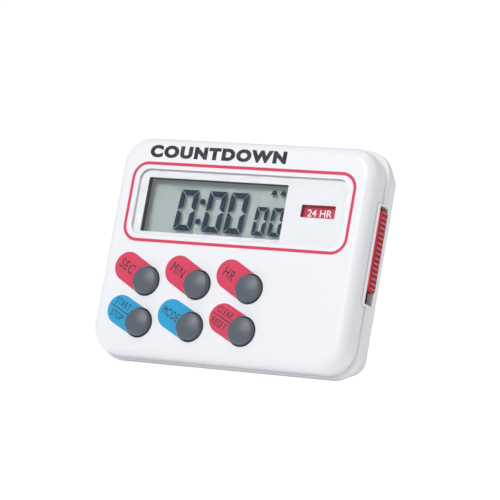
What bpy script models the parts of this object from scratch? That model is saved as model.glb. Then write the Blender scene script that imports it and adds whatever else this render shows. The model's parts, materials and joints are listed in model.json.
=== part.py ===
"""A small upright kitchen timer: two-part case, display, six buttons, side slider and a fold-out stand.

Everything is modelled upright in the case's own frame and hangs on one tilted empty:
x to the right, y from the face towards the back (0 on the face), z up, with x = z = 0 in the
middle of the face. The empty leans the timer back on its bevelled underside and its stand.
"""

import math

import bmesh
import bpy
from mathutils import Vector

MM = 0.001

# Overall case
WIDTH = 80.0 * MM
HEIGHT = 62.0 * MM
DEPTH = 18.0 * MM
LEAN = math.radians(20.0)  # taper of the rear cover and lean of the standing timer
CORNER = 8.6 * MM  # outline radius of the rear cover
LEDGE = 0.7 * MM  # how far the rear cover stands out past the front cover
PARTING = 7.0 * MM  # depth of the joint between the covers
STRAIGHT = 1.9 * MM  # upright part of the rear cover's wall, before its taper
FACE_FILLET = 3.1 * MM
BACK_FILLET = 1.0 * MM
BACK_SPREAD = 0.7  # sideways reach of the back's fillet, as a share of its depth
FACE_WALL = 2.0 * MM
WALL = 1.7 * MM
GAP = 0.15 * MM  # between pieces that touch
FIT = 0.3 * MM  # between pieces that move past each other
PAST = 1.0 * MM  # how far a cutter runs past what it cuts
SINK = 0.5 * MM  # how far an added shape runs into what it joins

# Display
DISPLAY_BELOW_TOP = 19.1 * MM  # middle of the display below the case's top
LENS_SIZE = (64.8 * MM, 18.7 * MM)
LENS_CORNER = 3.0 * MM
LENS_SEAT = 1.1 * MM
LENS_BELOW_FACE = 0.25 * MM
LCD_WINDOW = (43.6 * MM, 15.1 * MM)
LCD_WINDOW_LEFT = 29.2 * MM  # its left edge from the middle of the case
LCD_WINDOW_DROP = 0.7 * MM  # its middle below the middle of the display
FLAG_WINDOW = (10.2 * MM, 3.2 * MM)
FLAG_WINDOW_LEFT = 19.5 * MM
BEZEL_WALL = 0.45 * MM
GLASS_MARGIN = 1.6 * MM  # glass round the window
GLASS_BELOW = 2.9 * MM  # glass below the window, down to its contact ledge
GLASS = 0.9 * MM
REFLECTOR = 0.2 * MM
GLASS_LEDGE = 2.6 * MM  # contact ledge of the front glass below the rear glass
WINDOW_CORNER = 0.3 * MM
FLAG_WINDOW_OVERLAP = 1.0 * MM  # flag past its window on the left and below
ZEBRA_END = 2.0 * MM  # zebra strip's end from the glass's end

# Buttons
BUTTON_PITCH = (16.07 * MM, 11.55 * MM)
BUTTON_LEFT = 15.75 * MM  # first column from the case's left side
BUTTON_BOTTOM = 9.36 * MM  # last row above the case's bottom
BUTTON_RADIUS = 3.78 * MM
BUTTON_CLEARANCE = 0.35 * MM
BUTTON_PROUD = 1.67 * MM
BUTTON_CROWN = 0.35 * MM  # drop of the low dome at its own radius
BUTTON_SHOULDER = 1.0 * MM
BUTTON_FLANGE = 0.8 * MM
FLANGE_OVERHANG = 0.7 * MM  # flange past the hole's edge
BUTTON_TRAVEL = 1.0 * MM
BUTTON_NAMES = (
    ("button_seconds", "button_minutes", "button_hours"),
    ("button_start_stop", "button_mode", "button_clear"),
)

# Keypad and circuit board
MAT = 0.8 * MM
MAT_MARGIN = 5.0 * MM  # sheet past the outer buttons' middles
DOME_TOP_RADIUS = 2.0 * MM
DOME_FOOT_RADIUS = 3.0 * MM
DOME_HEIGHT = 1.1 * MM
DOME_WALL = 0.6 * MM
BOARD = 1.2 * MM
BOARD_INSET = 6.5 * MM  # board edge from the case's side
BOARD_BOTTOM = 4.5 * MM  # board edge above the case's bottom
BOARD_CLEARANCE = 1.0 * MM  # board from the screw bosses
PARTS_BELOW_GLASS = 5.0 * MM  # middle of the row of components below the glass
CHIP_COVER = (5.2 * MM, 4.2 * MM, 2.0 * MM)  # radii at its foot, shoulder and top
CHIP_COVER_HEIGHT = 1.3 * MM
BOARD_SCREW_HEAD = (1.7 * MM, 0.9 * MM)  # radius and thickness

# Slider in the right side
SLOT_TOP = 15.0 * MM  # slot ends from the case's top and bottom
SLOT_BOTTOM = 20.5 * MM
SLOT_DEPTH = 4.7 * MM
SLOT_FRONT = 5.2 * MM
PAD_RIM = 0.6 * MM
SLIDER_TRAVEL = 2.3 * MM
SLIDER_TOP_GAP = 0.8 * MM
SLIDER_PROUD = 0.55 * MM
RIB_PITCH = 1.37 * MM
RIB_HEIGHT = 0.45 * MM
RIB_WIDTH = 0.5 * MM
RIB_COUNT = 16
SLIDER_BASE = 1.3 * MM
SLIDER_BASE_INSET = 1.1 * MM  # base from the inner side of the wall
SLIDER_LIP = 1.2 * MM  # base past the knob above and below
SLIDER_SIDE_LIP = 0.4 * MM  # base past the knob in front and behind
CONTACT_LEAF = (4.0 * MM, 11.0 * MM)  # its ends above the slot's lower end
CONTACT_DEPTH = 3.4 * MM
FLAG_THICKNESS = 0.8 * MM
FLAG_MARGIN = 3.3 * MM

# Battery and its bay
BATTERY_RADIUS = 5.25 * MM
BATTERY_LENGTH = 43.6 * MM
BATTERY_NUB = 0.8 * MM
BATTERY_NUB_RADIUS = 1.9 * MM
BATTERY_EDGE = 0.4 * MM
BATTERY_BELOW_TOP = 18.0 * MM
BAY_LEFT = 5.0 * MM  # bay end from the case's left side
BAY_SPRING = 3.4 * MM
BAY_CONTACT = 1.5 * MM
BAY_WALL = 0.8 * MM
BAY_SIDE = 0.25 * MM  # bay's side from the battery's
SPRING_WIRE = 0.28 * MM
SPRING_RADII = (3.4 * MM, 1.8 * MM)  # at the wall and at the battery
SPRING_TURNS = 3
CONTACT_SIZE = (7.0 * MM, 8.0 * MM)  # positive contact, in depth and height
DOOR = 1.6 * MM
DOOR_TONGUE = 0.6 * MM
DOOR_TONGUE_THICKNESS = 0.6 * MM
DOOR_RIM = 1.0 * MM  # plastic round the door's seat
DOOR_SHELF = 1.2 * MM  # thickness of that plastic in front of the door
DOOR_END = 0.1 * MM  # door's end from the case's side
GRIP_COUNT = 3
GRIP_START = 5.0 * MM
GRIP_PITCH = 2.0 * MM
GRIP_WIDTH = 0.9 * MM
GRIP_DEPTH = 0.4 * MM

# Stand
HINGE_FROM_BACK = 1.4 * MM
STAND_WIDTH = 30.0 * MM
STAND_THICKNESS = 2.0 * MM
STAND_SWING = math.radians(15.0)  # lean of the open leg past upright
PEG_RADIUS = 0.9 * MM
PEG_LENGTH = 1.2 * MM
STAND_RECESS = 3.1 * MM
RECESS_FLOOR = 1.2 * MM
RECESS_TOP_WALL = 0.9 * MM
RECESS_BELOW_DOOR = 0.2 * MM  # plastic above the recess from the plastic round the door
SOCKET_WALL = 1.0 * MM
PANEL_DEPTH = 0.5 * MM
PANEL_SIDE = 4.0 * MM
PANEL_END = 5.0 * MM
PANEL_CORNER = 2.0 * MM

# Screws, magnets and buzzer
SCREW_INSET = 7.8 * MM  # screw above the case's bottom and below its top
BOSS_RADIUS = 2.8 * MM
BOSS_FROM_BUTTON = 0.32 * MM  # boss from the flange of the nearest button, sideways
SCREW_SHANK = 0.8 * MM
SCREW_HEAD = 2.1 * MM
SCREW_HEAD_THICKNESS = 1.3 * MM
SCREW_SINK = 2.2 * MM
SCREW_TIP = 0.3 * MM
SCREW_END = 2.0 * MM  # tip behind the face's inner side
SCREW_POINT = 1.0 * MM
HEAD_EDGE = 0.7 * MM  # upright side of the head, below its dome
CROSS_LENGTH = 1.1 * MM
CROSS_START = 0.5 * MM
PILOT_START = 1.5 * MM  # pilot hole's end behind the face's inner side
BOSS_JOINT = 10.0 * MM
MAGNET_RADIUS = 5.5 * MM
MAGNET_THICKNESS = 2.5 * MM
MAGNET_SIDE = 14.0 * MM  # magnets from the case's sides
MAGNET_TOP = 19.0 * MM  # right magnet below the case's top
LOWER_ROW = 22.0 * MM  # left magnet and buzzer above the case's bottom
CUP_WALL = 1.0 * MM
BUZZER_RADIUS = 7.5 * MM
BUZZER_PLATE = 0.3 * MM
BUZZER_CHAMBER = 1.2 * MM  # air between the buzzer and the cover
CERAMIC_SHARE = 0.7  # ceramic's radius over the disc's
SOUND_HOLE = 0.8 * MM
SOUND_RING = 3.2 * MM
SOUND_HOLES = 6  # on the ring, with one more in its middle
BUZZER_WIRE = 0.4 * MM
WIRE_BULGE = 3.0 * MM
WIRE_RUN = 2.5 * MM  # how far the wires' ends lie nearer the board's middle

CORNER_STEPS = 8
ROUND_STEPS = 32
SMALL_STEPS = 20
HOLE_STEPS = 16
SMALLEST_RADIUS = 0.05 * MM
SHORTEST_SIDE = 0.01 * MM
SMOOTH_BELOW = math.radians(40)
SIGNS = ((1, 1), (-1, 1), (-1, -1), (1, -1))  # the four corners, in x and z

# Places worked out from the sizes above
HALF_W = WIDTH / 2
HALF_H = HEIGHT / 2
WALL_END = PARTING + GAP + STRAIGHT
DISPLAY_Z = HALF_H - DISPLAY_BELOW_TOP
LCD_X = -LCD_WINDOW_LEFT + LCD_WINDOW[0] / 2
LCD_Z = DISPLAY_Z - LCD_WINDOW_DROP
FLAG_X = FLAG_WINDOW_LEFT + FLAG_WINDOW[0] / 2
LCD_FRONT = FACE_WALL + GAP
LCD_BOTTOM = LCD_Z - LCD_WINDOW[1] / 2 - GLASS_BELOW
FLANGE_BACK = FACE_WALL + GAP + BUTTON_FLANGE
DOME_TOP = FLANGE_BACK + BUTTON_TRAVEL + GAP
MAT_FRONT = DOME_TOP + DOME_HEIGHT
BOARD_FRONT = MAT_FRONT + MAT + GAP
BOARD_BACK = BOARD_FRONT + BOARD
BATTERY_Z = HALF_H - BATTERY_BELOW_TOP
DOOR_FRONT = DEPTH - DOOR
BATTERY_Y = DOOR_FRONT - 2 * GAP - BATTERY_RADIUS
BAY_X0 = -HALF_W + BAY_LEFT
BATTERY_X0 = BAY_X0 + BAY_SPRING
BAY_X1 = BATTERY_X0 + BATTERY_LENGTH + BATTERY_NUB + BAY_CONTACT
SLOT_Z = (-HALF_H + SLOT_BOTTOM, HALF_H - SLOT_TOP)
SLIDER_X = HALF_W - WALL - SLIDER_BASE_INSET  # outer side of the slider's base
FLANGE_RADIUS = BUTTON_RADIUS + BUTTON_CLEARANCE + FLANGE_OVERHANG
BOSS_X = HALF_W - BUTTON_LEFT + FLANGE_RADIUS + BOSS_FROM_BUTTON + BOSS_RADIUS
BOSS_Z = HALF_H - SCREW_INSET
BAY_HALF = BATTERY_RADIUS + BAY_SIDE
DOOR_SEAT_HALF = BAY_HALF + DOOR_TONGUE + 2 * FIT
RECESS_HALF = STAND_WIDTH / 2 + FIT
RECESS_TOP = BATTERY_Z - DOOR_SEAT_HALF - DOOR_RIM - RECESS_BELOW_DOOR - RECESS_TOP_WALL
HINGE_Y = DEPTH - HINGE_FROM_BACK
HINGE_Z = RECESS_TOP - 2 * FIT - STAND_THICKNESS / 2
MAGNET_PLACES = (
    (HALF_W - MAGNET_SIDE, HALF_H - MAGNET_TOP),
    (-HALF_W + MAGNET_SIDE, -HALF_H + LOWER_ROW),
)
BUZZER_X = RECESS_HALF + PEG_LENGTH + SOCKET_WALL + FIT + BUZZER_RADIUS
BUZZER_Z = -HALF_H + LOWER_ROW


def taper(y):
    """How far the rear cover has drawn in at a depth."""
    return max(0.0, y - WALL_END) * math.tan(LEAN)


# The tilted frame that everything hangs on
for old in list(bpy.data.objects):
    bpy.data.objects.remove(old, do_unlink=True)
timer = bpy.data.objects.new("timer", None)
bpy.context.scene.collection.objects.link(timer)


# Shapes
def outline(half_x, half_z, radius, y, cx=0.0, cz=0.0):
    """A rounded rectangle at one depth, as a ring of points."""
    radius = max(min(radius, half_x - SHORTEST_SIDE, half_z - SHORTEST_SIDE), SMALLEST_RADIUS)
    ring = []
    for corner, (sx, sz) in enumerate(SIGNS):
        for step in range(CORNER_STEPS + 1):
            angle = math.pi / 2 * (corner + step / CORNER_STEPS)
            ring.append((
                cx + sx * (half_x - radius) + radius * math.cos(angle),
                y,
                cz + sz * (half_z - radius) + radius * math.sin(angle),
            ))
    return ring


def circle(radius, y, cx=0.0, cz=0.0, steps=ROUND_STEPS):
    turns = [2 * math.pi * step / steps for step in range(steps)]
    return [(cx + radius * math.cos(a), y, cz + radius * math.sin(a)) for a in turns]


def cuboid(low, high):
    """The two end rings of a box."""
    (x0, y0, z0), (x1, y1, z1) = low, high
    corners = ((x0, z0), (x1, z0), (x1, z1), (x0, z1))
    return [[(x, y, z) for x, z in corners] for y in (y0, y1)]


def prism(corners, y0, y1):
    """The two end rings of an upright outline drawn in x and z."""
    return [[(x, y, z) for x, z in corners] for y in (y0, y1)]


def loft(name, rings, location=(0, 0, 0)):
    """A closed solid through rings of points, capped at both ends."""
    mesh = bmesh.new()
    rows = [[mesh.verts.new(point) for point in ring] for ring in rings]
    for near, far in zip(rows, rows[1:]):
        for i, vert in enumerate(near):
            following = (i + 1) % len(near)
            mesh.faces.new((vert, near[following], far[following], far[i]))
    mesh.faces.new(rows[0])
    mesh.faces.new(rows[-1])
    bmesh.ops.recalc_face_normals(mesh, faces=mesh.faces)
    data = bpy.data.meshes.new(name)
    mesh.to_mesh(data)
    mesh.free()
    obj = bpy.data.objects.new(name, data)
    bpy.context.scene.collection.objects.link(obj)
    obj.parent = timer
    obj.location = location
    return obj


def helper(obj):
    obj.hide_render = True
    obj.display_type = "WIRE"
    return obj


def combine(target, operation, name, rings, location=(0, 0, 0)):
    """Adds a shape to the target or cuts it away, with a Boolean modifier."""
    other = helper(loft(f"{target.name}_{name}", rings, location))
    modifier = target.modifiers.new(name, "BOOLEAN")
    modifier.operation = operation
    modifier.solver = "EXACT"
    modifier.object = other
    return other


def add(target, name, rings, location=(0, 0, 0)):
    return combine(target, "UNION", name, rings, location)


def cut(target, name, rings, location=(0, 0, 0)):
    return combine(target, "DIFFERENCE", name, rings, location)


def finish(obj, colour, roughness=0.5, metallic=0.0, smooth=True):
    """Gives a piece its own material and its shading."""
    material = bpy.data.materials.new(obj.name)
    material.use_nodes = True
    shader = material.node_tree.nodes["Principled BSDF"]
    shader.inputs["Base Color"].default_value = (*colour, 1)
    shader.inputs["Roughness"].default_value = roughness
    shader.inputs["Metallic"].default_value = metallic
    obj.data.materials.append(material)
    if smooth and obj.type == "MESH":
        obj.data.shade_smooth()
        obj.data.set_sharp_from_angle(angle=SMOOTH_BELOW)
    return obj


def tube(name, points, radius):
    """A wire through points, with filled caps."""
    curve = bpy.data.curves.new(name, "CURVE")
    curve.dimensions = "3D"
    curve.bevel_depth = radius
    curve.bevel_resolution = 1
    curve.use_fill_caps = True
    spline = curve.splines.new("POLY")
    spline.points.add(len(points) - 1)
    for point, place in zip(spline.points, points):
        point.co = (*place, 1)
    obj = bpy.data.objects.new(name, curve)
    bpy.context.scene.collection.objects.link(obj)
    obj.parent = timer
    return obj


WHITE = (0.86, 0.86, 0.87)
RED = (0.72, 0.03, 0.07)
GREY = (0.10, 0.11, 0.14)
BLACK = (0.02, 0.02, 0.02)
STEEL = (0.55, 0.55, 0.56)


# Case
def front_cover():
    half_x, half_z = HALF_W - LEDGE, HALF_H - LEDGE
    corner = CORNER - LEDGE
    rings = []
    face_steps, inner_steps = 6, 3
    for step in range(face_steps + 1):
        angle = math.pi / 2 * step / face_steps
        inset = FACE_FILLET * (1 - math.sin(angle))
        y = FACE_FILLET * (1 - math.cos(angle))
        rings.append(outline(half_x - inset, half_z - inset, corner - inset, y))
    rings.append(outline(half_x, half_z, corner, PARTING))
    inner = corner - WALL
    inner_fillet = FACE_FILLET - WALL
    rings.append(outline(half_x - WALL, half_z - WALL, inner, PARTING))
    for step in range(inner_steps + 1):
        angle = math.pi / 2 * step / inner_steps
        inset = WALL + inner_fillet * (1 - math.cos(angle))
        y = FACE_WALL + inner_fillet * (1 - math.sin(angle))
        rings.append(outline(half_x - inset, half_z - inset, inner - inset + WALL, y))
    cover = loft("front_cover", rings)
    for i, (sx, sz) in enumerate(SIGNS):
        place = (sx * BOSS_X, 0, sz * BOSS_Z)
        post = [circle(BOSS_RADIUS, y, steps=SMALL_STEPS) for y in (FACE_WALL - SINK, BOSS_JOINT - GAP)]
        add(cover, f"boss_{i + 1}", post, place)
        ends = (FACE_WALL + PILOT_START, BOSS_JOINT)
        pilot = [circle(SCREW_SHANK + GAP, y, steps=HOLE_STEPS) for y in ends]
        cut(cover, f"pilot_{i + 1}", pilot, place)
    seat = [outline(LENS_SIZE[0] / 2, LENS_SIZE[1] / 2, LENS_CORNER, y) for y in (-PAST, LENS_SEAT)]
    cut(cover, "lens_seat", seat, (0, 0, DISPLAY_Z))
    through = (LENS_SEAT - SINK, FACE_WALL + PAST)
    margin = BEZEL_WALL + GAP
    window = [
        outline(LCD_WINDOW[0] / 2 + margin, LCD_WINDOW[1] / 2 + margin, WINDOW_CORNER, y) for y in through
    ]
    cut(cover, "lcd_window", window, (LCD_X, 0, LCD_Z))
    small = [outline(FLAG_WINDOW[0] / 2, FLAG_WINDOW[1] / 2, WINDOW_CORNER, y) for y in through]
    cut(cover, "flag_window", small, (FLAG_X, 0, DISPLAY_Z))
    for name, place in button_places():
        hole = [circle(BUTTON_RADIUS + BUTTON_CLEARANCE, y) for y in (-PAST, FACE_WALL + PAST)]
        cut(cover, f"{name}_hole", hole, place)
    notch = cuboid(
        (half_x - WALL - PAST, SLOT_FRONT - PAD_RIM - GAP, SLOT_Z[0] - PAD_RIM - GAP),
        (half_x + PAST, PARTING + PAST, SLOT_Z[1] + PAD_RIM + GAP),
    )
    cut(cover, "slider_notch", notch)
    return finish(cover, WHITE, 0.35)


def button_places():
    """Each button's name and the middle of its hole on the face, row by row from the top."""
    for row, names in enumerate(BUTTON_NAMES):
        z = -HALF_H + BUTTON_BOTTOM + BUTTON_PITCH[1] * (len(BUTTON_NAMES) - 1 - row)
        for column, name in enumerate(names):
            yield name, (-HALF_W + BUTTON_LEFT + BUTTON_PITCH[0] * column, 0, z)


def rear_cover():
    rim = PARTING + GAP
    floor = DEPTH - WALL
    rings = []
    back_steps = 3
    for step in range(back_steps + 1):
        angle = math.pi / 2 * step / back_steps
        y = DEPTH - BACK_FILLET * (1 - math.cos(angle))
        inset = taper(y) + BACK_FILLET * (1 - math.sin(angle)) * BACK_SPREAD
        rings.append(outline(HALF_W - inset, HALF_H - inset, CORNER - inset, y))
    for y in (WALL_END, rim):
        rings.append(outline(HALF_W, HALF_H, CORNER, y))
    for y in (rim, WALL_END, floor):
        inset = WALL + taper(y)
        rings.append(outline(HALF_W - inset, HALF_H - inset, CORNER - inset, y))
    cover = loft("rear_cover", rings)
    slider_pad_and_slot(cover)
    battery_bay(cover)
    stand_recess(cover)
    for i, (x, z) in enumerate(MAGNET_PLACES):
        pocket = DEPTH - MAGNET_THICKNESS - 2 * GAP
        cup = [circle(MAGNET_RADIUS + GAP + CUP_WALL, y) for y in (pocket - CUP_WALL, floor + SINK)]
        add(cover, f"magnet_cup_{i + 1}", cup, (x, 0, z))
        hollow = [circle(MAGNET_RADIUS + GAP, y) for y in (pocket, DEPTH + PAST)]
        cut(cover, f"magnet_pocket_{i + 1}", hollow, (x, 0, z))
    for i, (sx, sz) in enumerate(SIGNS):
        place = (sx * BOSS_X, 0, sz * BOSS_Z)
        post = [circle(BOSS_RADIUS, y, steps=SMALL_STEPS) for y in (BOSS_JOINT, floor + SINK)]
        add(cover, f"boss_{i + 1}", post, place)
        head_seat = DEPTH - SCREW_SINK - SCREW_HEAD_THICKNESS
        sink = [circle(SCREW_HEAD + GAP, y, steps=SMALL_STEPS) for y in (head_seat - GAP, DEPTH + PAST)]
        cut(cover, f"screw_sink_{i + 1}", sink, place)
        bore_ends = (BOSS_JOINT - PAST, head_seat + PAST)
        bore = [circle(SCREW_SHANK + FIT, y, steps=HOLE_STEPS) for y in bore_ends]
        cut(cover, f"screw_bore_{i + 1}", bore, place)
    for i in range(SOUND_HOLES + 1):
        ring = 0 if i == SOUND_HOLES else SOUND_RING
        angle = 2 * math.pi * i / SOUND_HOLES
        place = (BUZZER_X + ring * math.cos(angle), 0, BUZZER_Z + ring * math.sin(angle))
        hole = [circle(SOUND_HOLE, y, steps=HOLE_STEPS) for y in (floor - PAST, DEPTH + PAST)]
        cut(cover, f"sound_hole_{i + 1}", hole, place)
    return finish(cover, WHITE, 0.38)


def slider_pad_and_slot(cover):
    """The right wall steps forward round the slider, and the slot goes through it."""
    pad = cuboid(
        (HALF_W - WALL + GAP, SLOT_FRONT - PAD_RIM, SLOT_Z[0] - PAD_RIM),
        (HALF_W, PARTING + PAST, SLOT_Z[1] + PAD_RIM),
    )
    add(cover, "slider_pad", pad)
    slot = cuboid(
        (HALF_W - WALL - 2 * PAST, SLOT_FRONT, SLOT_Z[0]),
        (HALF_W + PAST, SLOT_FRONT + SLOT_DEPTH, SLOT_Z[1]),
    )
    cut(cover, "slider_slot", slot)


def battery_bay(cover):
    """A tub for the battery behind the display, with a T-shaped seat for the door open to the left."""
    end = BAY_X1 + BAY_WALL
    left = -HALF_W + taper(DEPTH) + FIT
    front = BATTERY_Y - BATTERY_RADIUS - GAP
    tub = cuboid(
        (BAY_X0 - BAY_WALL, front - BAY_WALL, BATTERY_Z - BAY_HALF - BAY_WALL),
        (end, DOOR_FRONT + SINK, BATTERY_Z + BAY_HALF + BAY_WALL),
    )
    add(cover, "battery_tub", tub)
    rim = DOOR_SEAT_HALF + DOOR_RIM
    frame = cuboid(
        (left, DOOR_FRONT - DOOR_SHELF, BATTERY_Z - rim), (end + DOOR_RIM, DOOR_FRONT + SINK, BATTERY_Z + rim)
    )
    add(cover, "door_frame", frame)
    bay = cuboid((BAY_X0, front, BATTERY_Z - BAY_HALF), (BAY_X1, DEPTH, BATTERY_Z + BAY_HALF))
    cut(cover, "battery_bay", bay)
    tongue_seat = cuboid(
        (-HALF_W - PAST, DOOR_FRONT - GAP, BATTERY_Z - DOOR_SEAT_HALF),
        (BAY_X1 + FIT, DOOR_FRONT + DOOR_TONGUE_THICKNESS + GAP, BATTERY_Z + DOOR_SEAT_HALF),
    )
    cut(cover, "door_tongue_seat", tongue_seat)
    plate_seat = cuboid(
        (-HALF_W - PAST, DOOR_FRONT - GAP, BATTERY_Z - BAY_HALF - FIT),
        (BAY_X1 + FIT, DEPTH + PAST, BATTERY_Z + BAY_HALF + FIT),
    )
    cut(cover, "door_plate_seat", plate_seat)


def stand_recess(cover):
    """A hollow in the back that the leg folds into, open at the bottom, with a socket each side."""
    side = RECESS_HALF + PEG_LENGTH + SOCKET_WALL
    tub = cuboid(
        (-side, DEPTH - STAND_RECESS - RECESS_FLOOR, -HALF_H + taper(DEPTH - SINK) + FIT),
        (side, DEPTH - SINK, RECESS_TOP + RECESS_TOP_WALL),
    )
    add(cover, "stand_tub", tub)
    hollow = cuboid(
        (-RECESS_HALF, DEPTH - STAND_RECESS, -HALF_H - PAST), (RECESS_HALF, DEPTH + PAST, RECESS_TOP)
    )
    cut(cover, "stand_hollow", hollow)
    reach = RECESS_HALF + PEG_LENGTH + FIT
    socket = [circle(PEG_RADIUS + GAP, y, steps=SMALL_STEPS) for y in (-reach, reach)]
    cutter = cut(cover, "stand_sockets", socket, (0, HINGE_Y, HINGE_Z))
    cutter.rotation_euler = (0, 0, math.pi / 2)


def battery_door():
    left = -HALF_W + taper(DEPTH) + DOOR_END
    plate = cuboid((left, DOOR_FRONT, BATTERY_Z - BAY_HALF), (BAY_X1, DEPTH, BATTERY_Z + BAY_HALF))
    door = loft("battery_door", plate)
    tongue = BAY_HALF + DOOR_TONGUE
    tongues = cuboid(
        (left, DOOR_FRONT, BATTERY_Z - tongue),
        (BAY_X1 - DOOR_RIM, DOOR_FRONT + DOOR_TONGUE_THICKNESS, BATTERY_Z + tongue),
    )
    add(door, "tongues", tongues)
    for i in range(GRIP_COUNT):
        x = left + GRIP_START + GRIP_PITCH * i
        groove = cuboid(
            (x, DEPTH - GRIP_DEPTH, BATTERY_Z - BAY_HALF / 2),
            (x + GRIP_WIDTH, DEPTH + PAST, BATTERY_Z + BAY_HALF / 2),
        )
        cut(door, f"grip_{i + 1}", groove)
    return finish(door, WHITE, 0.4, smooth=False)


def stand():
    """The fold-out leg, with its origin on the hinge and its foot rounded, swung open to the floor."""
    floor_drop = math.cos(LEAN) * HALF_H + math.sin(LEAN) * WALL_END
    hinge_drop = math.sin(LEAN) * HINGE_Y - math.cos(LEAN) * HINGE_Z
    radius = STAND_THICKNESS / 2
    reach = (floor_drop - hinge_drop - radius) / math.cos(STAND_SWING)
    profile = []
    for start, drop in ((0, 0), (math.pi, reach)):
        for step in range(CORNER_STEPS + 1):
            angle = start + math.pi * step / CORNER_STEPS
            profile.append((radius * math.cos(angle), radius * math.sin(angle) - drop))
    half = STAND_WIDTH / 2
    rings = [[(x, y, z) for y, z in profile] for x in (-half, half)]
    leg = loft("stand", rings, (0, HINGE_Y, HINGE_Z))
    leg.rotation_euler = (LEAN + STAND_SWING, 0, 0)
    peg = [circle(PEG_RADIUS, y, steps=SMALL_STEPS) for y in (-half - PEG_LENGTH, half + PEG_LENGTH)]
    pegs = add(leg, "pegs", peg, (0, HINGE_Y, HINGE_Z))
    pegs.rotation_euler = (0, 0, math.pi / 2)
    panel = [
        outline(half - PANEL_SIDE, reach / 2 - PANEL_END, PANEL_CORNER, y, cz=-reach / 2)
        for y in (radius - PANEL_DEPTH, radius + PAST)
    ]
    hollow = cut(leg, "panel", panel, (0, HINGE_Y, HINGE_Z))
    hollow.rotation_euler = leg.rotation_euler
    return finish(leg, WHITE, 0.4)


# Display
def display():
    depth = (LENS_BELOW_FACE, LENS_SEAT - GAP)
    half_x, half_z = LENS_SIZE[0] / 2 - GAP, LENS_SIZE[1] / 2 - GAP
    lens = [outline(half_x, half_z, LENS_CORNER - GAP, y) for y in depth]
    finish(loft("window_lens", lens, (0, 0, DISPLAY_Z)), (0.95, 0.96, 0.97), 0.05)
    half_x, half_z = LCD_WINDOW[0] / 2, LCD_WINDOW[1] / 2
    outer = (half_x + BEZEL_WALL, half_z + BEZEL_WALL)
    bezel = loft(
        "lcd_bezel",
        cuboid((-outer[0], LENS_SEAT + GAP, -outer[1]), (outer[0], FACE_WALL, outer[1])),
        (LCD_X, 0, LCD_Z),
    )
    opening = cuboid((-half_x, 0, -half_z), (half_x, FACE_WALL + PAST, half_z))
    cut(bezel, "opening", opening, (LCD_X, 0, LCD_Z))
    finish(bezel, BLACK, 0.6, smooth=False)
    left, right = LCD_X - half_x - GLASS_MARGIN, LCD_X + half_x + GLASS_MARGIN
    top = LCD_Z + half_z + GLASS_MARGIN
    y = LCD_FRONT
    layers = (
        ("lcd_front_glass", GLASS, LCD_BOTTOM, (0.55, 0.60, 0.58)),
        ("lcd_rear_glass", GLASS, LCD_BOTTOM + GLASS_LEDGE, (0.50, 0.56, 0.54)),
        ("lcd_reflector", REFLECTOR, LCD_BOTTOM + GLASS_LEDGE, (0.45, 0.50, 0.48)),
    )
    for name, thickness, bottom, colour in layers:
        layer = loft(name, cuboid((left, y, bottom), (right, y + thickness, top)))
        finish(layer, colour, 0.2, smooth=False)
        y += thickness + GAP
    strip = cuboid(
        (left + ZEBRA_END, LCD_FRONT + GLASS + GAP, LCD_BOTTOM + FIT),
        (right - ZEBRA_END, BOARD_FRONT - GAP, LCD_BOTTOM + GLASS_LEDGE - 2 * FIT),
    )
    finish(loft("zebra_strip", strip), (0.75, 0.45, 0.55), 0.6, smooth=False)


# Buttons and electronics
def buttons():
    """Domed caps with a flange behind the face."""
    for name, place in button_places():
        rings = [circle(BUTTON_RADIUS * share, y) for share, y in dome_profile()]
        rings.append(circle(BUTTON_RADIUS, FACE_WALL + GAP))
        rings += [circle(FLANGE_RADIUS, y) for y in (FACE_WALL + GAP, FLANGE_BACK)]
        finish(loft(name, rings, place), GREY, 0.5)


def dome_profile():
    """Share of the cap's radius and depth, from the crown to the foot of the rounded shoulder."""
    crown_steps, shoulder_steps = 3, 5
    flat = 1 - BUTTON_SHOULDER / BUTTON_RADIUS
    for step in range(1, crown_steps + 1):
        share = flat * step / crown_steps
        yield share, -BUTTON_PROUD + BUTTON_CROWN * share**2
    edge = BUTTON_CROWN * flat**2
    for step in range(1, shoulder_steps + 1):
        angle = math.pi / 2 * step / shoulder_steps
        drop = edge + (BUTTON_SHOULDER - edge) * (1 - math.cos(angle))
        yield flat + (1 - flat) * math.sin(angle), -BUTTON_PROUD + drop


def keypad_mat():
    """A rubber sheet with one hollow-backed dome under each button."""
    places = dict(button_places())
    xs = [place[0] for place in places.values()]
    zs = [place[2] for place in places.values()]
    sheet = cuboid(
        (min(xs) - MAT_MARGIN, MAT_FRONT, min(zs) - MAT_MARGIN),
        (max(xs) + MAT_MARGIN, MAT_FRONT + MAT, max(zs) + MAT_MARGIN),
    )
    mat = loft("keypad_mat", sheet)
    for name, place in places.items():
        dome = [
            circle(DOME_TOP_RADIUS, DOME_TOP, steps=SMALL_STEPS),
            circle(DOME_FOOT_RADIUS, MAT_FRONT + MAT / 2, steps=SMALL_STEPS),
        ]
        add(mat, f"{name}_dome", dome, place)
        hollow = [
            circle(DOME_TOP_RADIUS / 2, DOME_TOP + DOME_WALL, steps=HOLE_STEPS),
            circle(DOME_TOP_RADIUS, MAT_FRONT + PAST, steps=HOLE_STEPS),
        ]
        cut(mat, f"{name}_hollow", hollow, place)
    finish(mat, (0.55, 0.56, 0.58), 0.7, smooth=False)


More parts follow.
